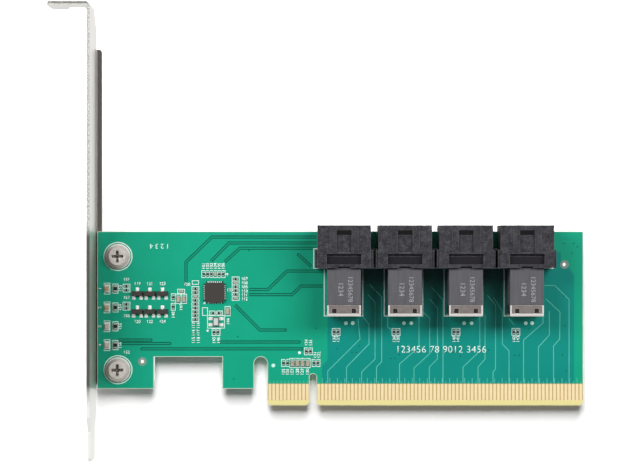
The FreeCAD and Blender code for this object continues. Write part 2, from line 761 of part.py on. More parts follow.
def make_rear_clip(number):
    body = new_body(f"socket_{number + 1}_rear_clip", socket_x(number), MOUTH_Y, FRONT)
    end = f"(0 - {SOCKET_LENGTH})"
    inside = f"({end} + Sizes.clip_thickness)"
    front = f"({end} + Sizes.clip_length - Sizes.clip_clearance)"
    underside = f"({WAFER_HEIGHT} - Sizes.clip_thickness)"
    profile = new_sketch(body, "YZ_Plane")
    add_outline(profile, [
        (end, "0"),
        (end, WAFER_HEIGHT),
        (front, WAFER_HEIGHT),
        (front, underside),
        (inside, underside),
        (inside, "0"),
    ])
    pad(body, profile, "Sizes.wafer_width", symmetric=True)
    holes = new_sketch(body, "XY_Plane", WAFER_HEIGHT)
    add_clip_pegs(holes, "Sizes.clip_peg_size + 2 * Sizes.clip_peg_clearance")
    pocket(body, holes, "Sizes.clip_thickness")
    fold = edges_along(body, "x", [(end, WAFER_HEIGHT)])
    dress(body, "PartDesign::Chamfer", fold, "Size", "Sizes.clip_thickness")


# Spring contacts: gilded beams from the wafers along both walls of each card slot.


def make_springs(number):
    body = new_body(f"socket_{number + 1}_contacts", socket_x(number), MOUTH_Y, FRONT)
    row = new_sketch(body, "XZ_Plane", f"0 - {NOSE_FRONT}")
    first = "0 - (Sizes.spring_count - 1) * Sizes.spring_pitch / 2"
    seat = "(Sizes.card_slot_height - Sizes.spring_thickness) / 2"
    for middle in card_slot_levels():
        for side in "-+":
            level = f"{middle} {side} {seat}"
            add_centred(row, first, level, "Sizes.spring_width", "Sizes.spring_thickness")
    slot_length = "Sizes.head_length - Sizes.nose_depth - Sizes.mouth_depth"
    beams = pad(body, row, f"{slot_length} - Sizes.spring_setback", reverse=True)
    pattern(body, beams, row, "Sizes.spring_pitch", "Sizes.spring_count")


# Chip resistors and capacitors: a ceramic block between two tinned end caps.

chips = {"resistor": ([], []), "capacitor": ([], [])}


def add_chip(kind, x, y, upright, scale="small"):
    bodies, caps = chips[kind]
    cap = f"Sizes.{scale}_chip_cap"
    length = f"Sizes.{scale}_chip_length"
    width = f"Sizes.{scale}_chip_width"
    height = f"Sizes.{scale}_chip_height"
    core = f"({length} - 2 * {cap})"
    offset = f"({length} - {cap}) / 2"
    if upright:
        bodies.append(block(x, y, FRONT, width, core, height))
        caps.extend(block(x, f"{y} {side} {offset}", FRONT, width, cap, height) for side in "-+")
    else:
        bodies.append(block(x, y, FRONT, core, width, height))
        caps.extend(block(f"{x} {side} {offset}", y, FRONT, cap, width, height) for side in "-+")


SMALL_PITCH = "(Sizes.small_chip_width + Sizes.small_chip_gap)"
LARGE_PITCH = "(Sizes.large_chip_width + Sizes.large_chip_gap)"

# Indicator lamps: a column between the bracket screws, each with its resistor beside it.

LED_X = f"({BOARD_LEFT} + Sizes.led_inset)"
LED_MIDDLE = f"(({UPPER_SCREW_Y} + {LOWER_SCREW_Y}) / 2 - Sizes.led_column_drop)"
LED_COUNT = 4
LED_TOP_LEVEL = f"({FRONT} + Sizes.led_base_height)"


def led_y(number):
    return f"({LED_MIDDLE} + {(LED_COUNT - 1) / 2 - number} * Sizes.led_pitch)"


def make_leds():
    bases = []
    terminals = []
    core = "(Sizes.led_length - 2 * Sizes.led_terminal_length)"
    offset = "(Sizes.led_length - Sizes.led_terminal_length) / 2"
    resistor_x = f"({LED_X} + (Sizes.led_width + Sizes.large_chip_width) / 2 + Sizes.led_resistor_gap)"
    for number in range(LED_COUNT):
        y = led_y(number)
        bases.append(block(LED_X, y, FRONT, "Sizes.led_width", core, "Sizes.led_base_height"))
        for side in "-+":
            terminals.append(block(
                LED_X, f"{y} {side} {offset}", FRONT,
                "Sizes.led_width", "Sizes.led_terminal_length", "Sizes.led_base_height"))
        lens = new_body(f"led_{number + 1}", LED_X, y, LED_TOP_LEVEL)
        outline = new_sketch(lens, "XY_Plane")
        add_centred(outline, "0", "0", "Sizes.led_width - 2 * Sizes.led_lens_margin", core)
        pad(lens, outline, "Sizes.led_lens_height", draft="Sizes.led_lens_draft")
        add_chip("resistor", resistor_x, y, True, "large")
    group("led_bases", bases)
    group("led_terminals", terminals)


# Driver transistors: three-lead moulded packages in two rows of three.

COLUMNS = 3
ROWS = 2
TRANSISTOR_PITCH = "(Sizes.transistor_length + Sizes.transistor_gap)"
TRANSISTOR_ROW_PITCH = "(Sizes.transistor_width + Sizes.transistor_row_gap)"
DRIVER_RESISTOR_X = (
    f"({LED_X} + Sizes.led_width / 2 + Sizes.led_resistor_gap + Sizes.large_chip_width"
    " + Sizes.driver_resistor_gap + Sizes.small_chip_length / 2)")
TRANSISTOR_X = (
    f"({DRIVER_RESISTOR_X} + Sizes.small_chip_length / 2 + Sizes.driver_gap"
    " + Sizes.transistor_length / 2)")
DRIVER_Y = "(Sizes.board_height - Sizes.driver_drop)"
LOWER_ROW_Y = f"({DRIVER_Y} - {TRANSISTOR_ROW_PITCH} / 2)"
PACKAGE_LEVEL = f"({FRONT} + Sizes.transistor_lift)"


def make_transistors():
    number = 0
    for row in reversed(range(ROWS)):
        y = f"({LOWER_ROW_Y} + {row} * {TRANSISTOR_ROW_PITCH})"
        for column in range(COLUMNS):
            number += 1
            x = f"({TRANSISTOR_X} + {column} * {TRANSISTOR_PITCH})"
            body = new_body(f"transistor_{number}", x, y, PACKAGE_LEVEL)
            outline = new_sketch(body, "XY_Plane")
            add_centred(outline, "0", "0", "Sizes.transistor_length", "Sizes.transistor_width")
            pad(body, outline, "Sizes.transistor_height", draft="Sizes.transistor_draft")
        for side in "-+":
            resistor_y = f"{y} + Sizes.driver_resistor_rise {side} {SMALL_PITCH} / 2"
            add_chip("resistor", DRIVER_RESISTOR_X, resistor_y, False)

    leads = new_body("transistor_leads", TRANSISTOR_X, LOWER_ROW_Y, FRONT)
    for row in range(ROWS):
        row_y = f"{row} * {TRANSISTOR_ROW_PITCH}"
        add_lead_row(leads, "0", row_y, "+")
        add_lead_row(leads, "0 - Sizes.lead_spacing / 2", row_y, "-")
        add_lead_row(leads, "Sizes.lead_spacing / 2", row_y, "-")


def add_lead_row(body, x, row_y, side):
    """One bent lead from a package's flank down to its land, along a row of packages."""
    level = "(Sizes.lead_level + Sizes.transistor_lift)"
    slope = "tan(Sizes.transistor_draft)"
    root = f"(Sizes.transistor_width / 2 - Sizes.lead_level * {slope})"
    reach = "(Sizes.transistor_width / 2 + Sizes.lead_reach)"
    heel = f"({reach} - Sizes.lead_foot)"
    thick = "Sizes.lead_thickness"
    profile = new_sketch(body, "YZ_Plane", x)
    add_outline(profile, [
        (f"{row_y} {side} {root}", level),
        (f"{row_y} {side} ({heel} - {thick})", level),
        (f"{row_y} {side} ({heel} - {thick})", "0"),
        (f"{row_y} {side} {reach}", "0"),
        (f"{row_y} {side} {reach}", thick),
        (f"{row_y} {side} {heel}", thick),
        (f"{row_y} {side} {heel}", f"{level} + {thick}"),
        (f"{row_y} {side} ({root} - {thick} * {slope})", f"{level} + {thick}"),
    ])
    lead = pad(body, profile, "Sizes.lead_width", symmetric=True)
    spread = new_sketch(body, "XY_Plane")
    pattern(body, lead, spread, TRANSISTOR_PITCH, str(COLUMNS))


# Pull-up resistors and bulk capacitors between the transistors and the clock chip.

PULL_UP_X = (
    f"({TRANSISTOR_X} + {COLUMNS - 1} * {TRANSISTOR_PITCH} + Sizes.transistor_length / 2"
    " + Sizes.pull_up_gap + Sizes.small_chip_width / 2)")
BULK_X = (
    f"({PULL_UP_X} + (Sizes.small_chip_width + Sizes.large_chip_width) / 2 + Sizes.bulk_gap)")
BULK_PITCH = "(Sizes.large_chip_width + Sizes.bulk_chip_gap)"


def make_pull_ups():
    spread = "(Sizes.small_chip_length + 2 * Sizes.small_chip_cap + 2 * Sizes.small_chip_gap) / 2"
    for side in "-+":
        y = f"{DRIVER_Y} + Sizes.pull_up_rise {side} {spread}"
        add_chip("resistor", PULL_UP_X, y, True)
    bulk_y = f"{DRIVER_Y} + Sizes.bulk_rise"
    for number in range(2):
        add_chip("capacitor", f"({BULK_X} + {number} * {BULK_PITCH})", bulk_y, True, "large")
    link_y = f"{bulk_y} + Sizes.large_chip_length / 2 + Sizes.bulk_link_rise"
    add_chip("capacitor", f"({BULK_X} + {BULK_PITCH} / 2)", link_y, False)


# Clock chip: a leadless square package on rows of small lands, ringed by chips.

CLOCK_X = (
    f"({BULK_X} + {BULK_PITCH} + Sizes.large_chip_width / 2 + Sizes.clock_gap"
    " + Sizes.clock_size / 2)")
CLOCK_Y = "(Sizes.board_height - Sizes.clock_drop)"
HALF_CLOCK = "Sizes.clock_size / 2"
LAND_TOP = f"({FRONT} + Sizes.land_thickness)"
SURROUNDINGS = {
    "left": "RRCRRRRRR",
    "top": "RRRCRR",
    "right": "RCRRRC",
}
KINDS = {"R": "resistor", "C": "capacitor"}


def make_clock_chip():
    body = new_body("clock_chip", CLOCK_X, CLOCK_Y, LAND_TOP)
    outline = new_sketch(body, "XY_Plane")
    add_centred(outline, "0", "0", "Sizes.clock_size", "Sizes.clock_size")
    pad(body, outline, "Sizes.clock_height")
    sides = (f"0 - {HALF_CLOCK}", HALF_CLOCK)
    corners = edges_along(body, "z", [(x, y) for x in sides for y in sides])
    dress(body, "PartDesign::Chamfer", corners, "Size", "Sizes.clock_corner")

    lands = []
    long_side = "Sizes.clock_land_length"
    short_side = "Sizes.clock_land_width"
    thick = "Sizes.land_thickness"
    middle = f"({HALF_CLOCK} + Sizes.clock_land_overhang - {long_side} / 2)"
    for number in range(int(size("Sizes.clock_land_count"))):
        along = f"(({number} - (Sizes.clock_land_count - 1) / 2) * Sizes.clock_land_pitch)"
        for side in "-+":
            lands.append(block(
                f"{CLOCK_X} {side} {middle}", f"{CLOCK_Y} + {along}", FRONT, long_side, short_side, thick))
            lands.append(block(
                f"{CLOCK_X} + {along}", f"{CLOCK_Y} {side} {middle}", FRONT, short_side, long_side, thick))
    group("clock_chip_lands", lands)


def make_clock_surroundings():
    left_x = f"{CLOCK_X} - {HALF_CLOCK} - Sizes.left_column_gap - Sizes.small_chip_length / 2"
    for number, letter in enumerate(SURROUNDINGS["left"]):
        y = f"{CLOCK_Y} + Sizes.left_column_rise - {number} * {SMALL_PITCH}"
        add_chip(KINDS[letter], left_x, y, False)
    top_y = f"{CLOCK_Y} + {HALF_CLOCK} + Sizes.top_row_gap + Sizes.small_chip_length / 2"
    half_row = (len(SURROUNDINGS["top"]) - 1) / 2
    for number, letter in enumerate(SURROUNDINGS["top"]):
        x = f"{CLOCK_X} - Sizes.top_row_shift + {number - half_row} * {SMALL_PITCH}"
        add_chip(KINDS[letter], x, top_y, True)
    right_x = f"{CLOCK_X} + {HALF_CLOCK} + Sizes.right_column_gap + Sizes.small_chip_length / 2"
    for number, letter in enumerate(SURROUNDINGS["right"]):
        y = f"{CLOCK_Y} + Sizes.right_column_rise - {number} * {SMALL_PITCH}"
        add_chip(KINDS[letter], right_x, y, False)


# Crystal: a ceramic tray with a metal lid on four wide lands, below the clock chip.

LOAD_Y = f"({CLOCK_Y} - {HALF_CLOCK} - Sizes.load_pair_gap - Sizes.small_chip_width / 2)"
CRYSTAL_X = f"({CLOCK_X} + Sizes.crystal_shift)"
CRYSTAL_Y = (
    f"({LOAD_Y} - Sizes.small_chip_width / 2 - Sizes.crystal_gap - Sizes.crystal_length / 2"
    " + Sizes.crystal_land_overlap)")


def make_crystal():
    lands = []
    offset = "((Sizes.crystal_width + Sizes.crystal_land_width) / 2 - Sizes.crystal_land_overlap)"
    for x_side in "-+":
        for y_side in "-+":
            lands.append(block(
                f"{CRYSTAL_X} {x_side} {offset}",
                f"{CRYSTAL_Y} {y_side} Sizes.crystal_land_spacing / 2", FRONT,
                "Sizes.crystal_land_width", "Sizes.crystal_land_length", "Sizes.land_thickness"))
    group("crystal_lands", lands)

    base = new_body("crystal_base", CRYSTAL_X, CRYSTAL_Y, LAND_TOP)
    outline = new_sketch(base, "XY_Plane")
    add_centred(outline, "0", "0", "Sizes.crystal_width", "Sizes.crystal_length")
    pad(base, outline, "Sizes.crystal_height")
    lid = new_body("crystal_lid", CRYSTAL_X, CRYSTAL_Y, f"({LAND_TOP} + Sizes.crystal_height)")
    cover = new_sketch(lid, "XY_Plane")
    margin = "2 * Sizes.crystal_lid_margin"
    add_centred(cover, "0", "0", f"Sizes.crystal_width - {margin}", f"Sizes.crystal_length - {margin}")
    pad(lid, cover, "Sizes.crystal_lid_height")

    load_offset = "(Sizes.small_chip_length + Sizes.small_chip_gap) / 2"
    for side in "-+":
        add_chip("resistor", f"{CRYSTAL_X} {side} {load_offset}", LOAD_Y, False)
    bias_y = (
        f"{CRYSTAL_Y} - Sizes.crystal_length / 2 - Sizes.bias_pair_gap"
        " - Sizes.small_chip_length / 2")
    for side in "-+":
        add_chip("resistor", f"{CRYSTAL_X} {side} {SMALL_PITCH} / 2", bias_y, True)
    supply_x = (
        f"{CRYSTAL_X} + {load_offset} + (Sizes.small_chip_length + Sizes.large_chip_width) / 2"
        " + Sizes.supply_chip_gap")
    supply_y = f"{CLOCK_Y} - {HALF_CLOCK} - Sizes.supply_chip_drop - Sizes.large_chip_length / 2"
    add_chip("capacitor", supply_x, supply_y, True, "large")


# Filter row above the key, and a resistor pair below each socket.

CONTACT_TOP = "(Sizes.bevel_height + Sizes.contact_setback + Sizes.contact_length)"
FILTER_Y = f"({CONTACT_TOP} + Sizes.filter_rise)"
FILTER_COUNT = 4


def make_filter_row():
    first = "(0 - Sizes.filter_from_key)"
    for number in range(FILTER_COUNT):
        add_chip("capacitor", f"({first} + {number} * {LARGE_PITCH})", FILTER_Y, True, "large")
    reach = "(Sizes.large_chip_width + Sizes.small_chip_width) / 2"
    last = f"({first} + {FILTER_COUNT - 1} * {LARGE_PITCH})"
    for number in range(2):
        step = f"{number} * {SMALL_PITCH}"
        add_chip("resistor", f"{first} - {reach} - Sizes.filter_left_gap - {step}", FILTER_Y, True)
        add_chip("resistor", f"{last} + {reach} + Sizes.filter_right_gap + {step}", FILTER_Y, True)
    pair_y = (
        f"{FILTER_Y} + (Sizes.large_chip_length + Sizes.small_chip_length) / 2"
        " + Sizes.filter_pair_rise")
    for number in range(2):
        add_chip("resistor", f"{number} * {SMALL_PITCH} - Sizes.filter_pair_from_key", pair_y, True)


def make_socket_pairs():
    y = f"{MOUTH_Y} - {SOCKET_LENGTH} - Sizes.socket_pair_drop - Sizes.small_chip_length / 2"
    for number in SOCKETS:
        for side in "-+":
            x = f"{socket_x(number)} - Sizes.socket_pair_shift {side} {SMALL_PITCH} / 2"
            add_chip("resistor", x, y, True)


make_board()
make_edge_contacts("edge_contacts_front", FRONT)
make_edge_contacts("edge_contacts_back", f"({BACK} - Sizes.contact_thickness)")
make_bracket()
make_screw("upper_bracket_screw", UPPER_SCREW_Y)
make_screw("lower_bracket_screw", LOWER_SCREW_Y)
for socket_number in SOCKETS:
    make_housing(socket_number)
    make_wafer_stack(socket_number)
    make_rear_clip(socket_number)
    make_springs(socket_number)
make_leds()
make_transistors()
make_pull_ups()
make_clock_chip()
make_clock_surroundings()
make_crystal()
make_filter_row()
make_socket_pairs()
for kind, (chip_bodies, chip_caps) in chips.items():
    group(f"{kind}_bodies", chip_bodies)
    group(f"{kind}_terminals", chip_caps)

doc.recompute()
for item in doc.Objects:
    if "Invalid" in item.State or "Error" in item.State:
        raise RuntimeError(f"{item.Label} was not built: {item.State}")
for node in nodes:
    if node.Shape.isNull() or not node.Shape.isValid():
        raise RuntimeError(f"{node.Label} has no valid shape")

os.makedirs("parts", exist_ok=True)
for node in nodes:
    node.Shape.exportStep(f"parts/{node.Label}.step")
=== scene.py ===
import math

import bmesh
import bpy
from mathutils import Matrix, Vector


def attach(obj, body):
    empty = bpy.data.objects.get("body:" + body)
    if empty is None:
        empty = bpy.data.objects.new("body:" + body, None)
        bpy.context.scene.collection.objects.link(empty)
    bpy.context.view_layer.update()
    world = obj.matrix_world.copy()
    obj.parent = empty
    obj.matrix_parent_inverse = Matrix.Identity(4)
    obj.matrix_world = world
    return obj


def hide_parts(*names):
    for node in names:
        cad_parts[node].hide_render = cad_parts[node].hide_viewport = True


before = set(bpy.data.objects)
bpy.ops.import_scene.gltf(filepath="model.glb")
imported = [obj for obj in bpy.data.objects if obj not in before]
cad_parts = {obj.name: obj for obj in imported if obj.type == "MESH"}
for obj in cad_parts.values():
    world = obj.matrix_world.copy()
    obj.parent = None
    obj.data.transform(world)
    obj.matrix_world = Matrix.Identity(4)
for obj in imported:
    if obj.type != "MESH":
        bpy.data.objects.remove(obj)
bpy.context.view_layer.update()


# Circuit board: one routed sheet of glass epoxy, 1.57 mm thick. Its cut edges, a thin
# band round the outline and the ground between the contacts show the bare laminate.

MM = 0.001
BOARD_FACE = 0.785
BEVEL_TOP = 1.4


def linear(colour):
    """The linear colour of an sRGB hex value."""
    channels = [int(colour[place:place + 2], 16) / 255 for place in (1, 3, 5)]
    return [c / 12.92 if c <= 0.04045 else ((c + 0.055) / 1.055) ** 2.4 for c in channels] + [1]


def new_material(name):
    """An empty material, for nodes of its own."""
    material = bpy.data.materials.new(name)
    material.use_nodes = True
    material.node_tree.nodes.clear()
    return material


def add_node(material, kind, inputs, **settings):
    """A shader node with its settings, and a value or a link on each of the named sockets.

    A node given as a value is linked from its first live output. Sockets that share a name
    go by number, such as 6 and 7 for the two colours of a Mix.
    """
    node = material.node_tree.nodes.new("ShaderNode" + kind)
    for name, value in settings.items():
        setattr(node, name, value)
    for name, value in inputs.items():
        if isinstance(value, bpy.types.Node):
            value = next(output for output in value.outputs if output.enabled)
        if isinstance(value, bpy.types.NodeSocket):
            material.node_tree.links.new(value, node.inputs[name])
        else:
            node.inputs[name].default_value = value
    return node


def coat(material, *names):
    """Gives CAD nodes a material."""
    for name in names:
        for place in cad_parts[name].material_slots:
            place.material = material


# Glass epoxy, routed: a pale straw body with the weave's paler knuckles, dull where cut,
# and cream along the ground bevel.
laminate = new_material("glass_epoxy_laminate")
place = add_node(laminate, "TexCoord", {}).outputs["Object"]
knuckles = add_node(laminate, "TexNoise", {"Vector": place, "Scale": 1 / (0.45 * MM), "Detail": 3})
straw = add_node(
    laminate, "Mix", {0: knuckles, 6: linear("#C6DBC0"), 7: linear("#DDECD6")}, data_type="RGBA")
height = add_node(laminate, "SeparateXYZ", {"Vector": place})
ground_off = add_node(
    laminate, "Math", {0: height.outputs["Z"], 1: BEVEL_TOP * MM}, operation="LESS_THAN")
straw = add_node(laminate, "Mix", {0: ground_off, 6: straw, 7: linear("#FFF3A8")}, data_type="RGBA")
fray = add_node(laminate, "Bump", {"Height": knuckles, "Strength": 0.3, "Distance": 0.03 * MM})
body = add_node(
    laminate, "BsdfPrincipled",
    {"Base Color": straw, "Roughness": 0.6, "IOR": 1.52, "Normal": fray})
add_node(laminate, "OutputMaterial", {"Surface": body})
coat(laminate, "circuit_board")


# Solder mask: a sprayed and cured green film on both faces, 0.03 mm thick. It stops
# short of the routed edges and is open over the contact tongue.

MASK_THICKNESS = 0.03
MASK_FACE = BOARD_FACE + MASK_THICKNESS
MASK_EDGE = 0.15
MASK_STOP = 5.85
TONGUE_LEFT = -14.0
FLAT_ENOUGH = 0.99
WELD = 0.002


def copy_solid(name):
    """A merged copy of a CAD node's mesh, in millimetres."""
    bm = bmesh.new()
    bm.from_mesh(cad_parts[name].data)
    bmesh.ops.scale(bm, vec=(1 / MM,) * 3, verts=bm.verts)
    bmesh.ops.remove_doubles(bm, verts=bm.verts, dist=WELD)
    return bm


def finish_piece(bm, name, material, smooth=None):
    """Makes a bmesh in card millimetres a piece that rides on the card."""
    bmesh.ops.recalc_face_normals(bm, faces=bm.faces)
    bmesh.ops.scale(bm, vec=(MM,) * 3, verts=bm.verts)
    mesh = bpy.data.meshes.new(name)
    bm.to_mesh(mesh)
    bm.free()
    mesh.materials.append(material)
    if smooth:
        mesh.shade_smooth()
        mesh.set_sharp_from_angle(angle=math.radians(smooth))
    piece = bpy.data.objects.new(name, mesh)
    bpy.context.collection.objects.link(piece)
    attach(piece, "root")
    return piece


def thicken(bm, faces, rise):
    """Raises flat faces into a slab; a positive rise is out of the component side."""
    grown = bmesh.ops.extrude_face_region(bm, geom=faces)["geom"]
    raised = [item for item in grown if isinstance(item, bmesh.types.BMVert)]
    bmesh.ops.translate(bm, verts=raised, vec=(0, -rise, 0))


# Cured liquid mask over the copper pour: bright green, satin gloss, with the faint
# orange peel of a sprayed film and soft clouds where the film is thicker.
mask_green = new_material("solder_mask_over_copper")
place = add_node(mask_green, "TexCoord", {}).outputs["Object"]
clouds = add_node(mask_green, "TexNoise", {"Vector": place, "Scale": 1 / (16 * MM), "Detail": 2})
peel = add_node(mask_green, "TexNoise", {"Vector": place, "Scale": 1 / (0.6 * MM), "Detail": 3})
green = add_node(
    mask_green, "Mix", {0: clouds, 6: linear("#059B78"), 7: linear("#12AE8C")}, data_type="RGBA")
film = add_node(mask_green, "Bump", {"Height": peel, "Strength": 0.12, "Distance": 0.01 * MM})
body = add_node(
    mask_green, "BsdfPrincipled",
    {"Base Color": green, "Roughness": 0.28, "IOR": 1.5, "Normal": film})
add_node(mask_green, "OutputMaterial", {"Surface": body})

for name, side in (("solder_mask_front", -1), ("solder_mask_back", 1)):
    bm = copy_solid("circuit_board")
    others = [face for face in bm.faces if face.normal.y * side < FLAT_ENOUGH]
    bmesh.ops.delete(bm, geom=others, context="FACES")
    rim = bmesh.ops.inset_region(
        bm, faces=bm.faces[:], thickness=MASK_EDGE, use_boundary=True, use_even_offset=True)
    bmesh.ops.delete(bm, geom=rim["faces"], context="FACES")
    bmesh.ops.bisect_plane(
        bm, geom=bm.verts[:] + bm.edges[:] + bm.faces[:],
        plane_co=(0, 0, MASK_STOP), plane_no=(0, 0, 1))
    middles = [(face, face.calc_center_median()) for face in bm.faces]
    tongue = [face for face, spot in middles if spot.z < MASK_STOP and spot.x > TONGUE_LEFT]
    bmesh.ops.delete(bm, geom=tongue, context="FACES")
    thicken(bm, bm.faces[:], -side * MASK_THICKNESS)
    finish_piece(bm, name, mask_green)


# Copper under the mask: the long signal pairs from the sockets to the contacts lie on a
# field with no pour, so the mask there is darker and each track shows as a pale ridge.
# On the left the pour is closed, and each track shows as a dark line of bare laminate.

TRACK_RISE = 0.02
TRACK_FACE = MASK_FACE + TRACK_RISE
FIELD_RISE = 0.008
FIELD = [
    (3.87, 41.0), (3.87, 12.15), (2.4, 10.55), (2.4, 5.9), (69.7, 5.9), (69.7, 34.85),
    (68.35, 36.75), (66.2, 36.75), (66.2, 41.0),
]
TRACK_WIDTH = 0.19
BACK_SHIFT = -1.0
PAIRS = [
    [(12.02, 23.1), (12.55, 17.76), (3.93, 9.21), (3.93, 6.0)],
    [(13.35, 23.63), (14.95, 21.76), (14.95, 16.42), (8.95, 10.28), (8.95, 6.0)],
    [(14.6, 29.6), (16.56, 27.6), (16.56, 12.42), (12.98, 8.95), (12.98, 6.0)],
    [(15.0, 32.4), (18.34, 29.0), (18.34, 11.72), (16.96, 10.28), (16.96, 6.0)],
    [(19.92, 23.63), (19.92, 20.96), (21.36, 19.89)],
    [(28.3, 23.9), (28.3, 15.62), (23.1, 11.08), (23.1, 6.0)],
    [(29.37, 24.97), (31.16, 23.36), (31.16, 13.86), (26.97, 10.01), (26.97, 6.0)],
    [(31.2, 28.4), (33.22, 26.03), (33.22, 12.42), (31.05, 10.28), (31.05, 6.0)],
    [(31.6, 31.6), (34.71, 28.17), (34.71, 6.0)],
    [(44.54, 23.9), (44.54, 14.55), (40.05, 10.28), (40.05, 6.0)],
    [(45.93, 24.43), (45.93, 12.42), (44.06, 10.28), (44.06, 6.0)],
    [(46.6, 29.4), (48.73, 26.9), (48.73, 9.75), (48.06, 8.95), (48.06, 6.0)],
    [(48.2, 28.8), (50.57, 25.23), (50.57, 16.42), (52.34, 14.55), (52.34, 6.0)],
    [(52.2, 23.36), (53.67, 21.5)],
    [(61.42, 23.63), (61.42, 22.03), (56.21, 17.49), (56.21, 6.0)],
    [(63.1, 25.23), (63.1, 18.83), (60.19, 15.62), (60.19, 6.0)],
    [(62.22, 28.44), (65.95, 24.97), (65.85, 17.76), (64.22, 15.89), (64.22, 6.0)],
    [(61.82, 32.04), (64.62, 32.04), (68.36, 28.3), (68.36, 6.0)],
]
GAP_WIDTH = 0.29
GAP_SPREAD = 0.28
GAPS = [
    [(-33.91, 32.0), (-33.91, 38.32), (-26.97, 44.99), (1.0, 44.99)],
    [(-27.24, 38.5), (-22.43, 43.4), (1.0, 43.4)],
    [(-23.6, 38.3), (-19.49, 42.0), (1.0, 42.0)],
    [(-17.09, 30.97), (-12.02, 30.97), (-6.94, 35.91), (2.67, 35.91)],
    [(-17.09, 29.61), (-5.61, 29.61), (-3.2, 31.91), (2.67, 31.91)],
    [(-20.83, 26.84), (-14.15, 20.16), (-6.94, 20.16)],
    [(-4.11, 40.45), (-0.37, 37.09)],
    [(-52.07, 17.49), (-42.99, 17.49)],
    [(-52.07, 16.56), (-37.92, 16.56)],
    [(-25.37, 16.96), (-3.47, 16.96)],
    [(-45.93, 15.14), (-2.67, 15.14)],
]
# Painted shade round the clock chip: two crossed strips of the deepest mask make a dark square
# under and round it, which sets off its lands.
CLOCK_SHADE_STRIPS = [[(-26.25, 27.2), (-26.25, 33.26)], [(-29.28, 30.23), (-23.22, 30.23)]]
CLOCK_SHADE_WIDTH = 4.7
CLOCK_SHADE_RISE = 0.004


def lay_track(bm, corners, width, low, high, shift=0.0):
    """A flat strip of even width along a line of corners, between two levels of the card."""
    path = [Vector(corner) for corner in corners]
    runs = [(end - start).normalized() for start, end in zip(path, path[1:])]
    ribs = []
    for index, corner in enumerate(path):
        sides = [run.orthogonal() for run in runs[max(index - 1, 0):index + 1]]
        across = sum(sides, Vector((0, 0))).normalized()
        across /= across.dot(sides[0])
        ends = [corner + across * (shift + reach) for reach in (-width / 2, width / 2)]
        ribs.append(bm.edges.new([bm.verts.new((end.x, -low, end.y)) for end in ends]))
    faces = []
    for rib, following in zip(ribs, ribs[1:]):
        faces += bmesh.ops.contextual_create(bm, geom=[rib, following])["faces"]
    thicken(bm, faces, high - low)


# The same mask over bare laminate: darker and bluer, because no copper shines through,
# with painted shade, from ambient occlusion, in the deep nooks between the sockets.
mask_teal = new_material("solder_mask_over_laminate")
place = add_node(mask_teal, "TexCoord", {}).outputs["Object"]
clouds = add_node(mask_teal, "TexNoise", {"Vector": place, "Scale": 1 / (14 * MM), "Detail": 2})
weave = add_node(mask_teal, "TexNoise", {"Vector": place, "Scale": 1 / (0.6 * MM), "Detail": 3})
teal = add_node(
    mask_teal, "Mix", {0: clouds, 6: linear("#02857A"), 7: linear("#079588")}, data_type="RGBA")
# Painted shade: the mask goes near black where the sockets occlude it.
nook_shade = add_node(mask_teal, "AmbientOcclusion", {"Distance": 14 * MM}, samples=8)
nook_shade = add_node(
    mask_teal, "MapRange",
    {"Value": nook_shade.outputs["AO"], "From Min": 0.5, "From Max": 0.2, "To Max": 0.8})
teal = add_node(mask_teal, "Mix", {0: nook_shade, 6: teal, 7: linear("#011A18")}, data_type="RGBA")
film = add_node(mask_teal, "Bump", {"Height": weave, "Strength": 0.15, "Distance": 0.01 * MM})
body = add_node(
    mask_teal, "BsdfPrincipled",
    {"Base Color": teal, "Roughness": 0.28, "IOR": 1.5, "Normal": film})
add_node(mask_teal, "OutputMaterial", {"Surface": body})


def mottled_finish(name, grain, detail, first, second, skin, relief=None):
    """A finish whose two tones drift over a grain in millimetres, with the skin's own sockets.

    A relief is the strength and the depth in millimetres of bumps of the same grain.
    """
    material = new_material(name)
    place = add_node(material, "TexCoord", {}).outputs["Object"]
    drift = add_node(
        material, "TexNoise", {"Vector": place, "Scale": 1 / (grain * MM), "Detail": detail})
    tone = add_node(
        material, "Mix", {0: drift, 6: linear(first), 7: linear(second)}, data_type="RGBA")
    skin = {"Base Color": tone, **skin}
    if relief:
        strength, depth = relief
        skin["Normal"] = add_node(
            material, "Bump", {"Height": drift, "Strength": strength, "Distance": depth * MM})
    body = add_node(material, "BsdfPrincipled", skin)
    add_node(material, "OutputMaterial", {"Surface": body})
    return material


# Mask in the narrow gaps of the pour: the deepest green, as the film is thickest there.
mask_deep = mottled_finish(
    "solder_mask_in_gap", 6, 2, "#02523F", "#056C54", {"Roughness": 0.28, "IOR": 1.5})

# Mask over a copper track: the thin film on the ridge's shoulders reads pale green.
mask_ridge = mottled_finish(
    "solder_mask_over_track", 5, 2, "#45B7A5", "#72D1C0", {"Roughness": 0.35, "IOR": 1.5})

for name, side in (("copper_free_field", 1), ("copper_free_field_back", -1)):
    bm = bmesh.new()
    outline = bm.faces.new([bm.verts.new((x, -side * MASK_FACE, z)) for x, z in FIELD])
    thicken(bm, [outline], side * FIELD_RISE)
    finish_piece(bm, name, mask_teal)

bm = bmesh.new()
for corners in PAIRS:
    lay_track(bm, corners, TRACK_WIDTH, MASK_FACE, TRACK_FACE)
for corners in PAIRS:
    shifted = [(x + BACK_SHIFT, z) for x, z in corners]
    lay_track(bm, shifted, TRACK_WIDTH, -MASK_FACE, -TRACK_FACE)
finish_piece(bm, "signal_tracks", mask_ridge)

bm = bmesh.new()
for corners in GAPS:
    for shift in (-GAP_SPREAD, GAP_SPREAD):
        for side in (1, -1):
            levels = [side * MASK_FACE, side * (MASK_FACE + FIELD_RISE)]
            lay_track(bm, corners, GAP_WIDTH, *levels, shift)
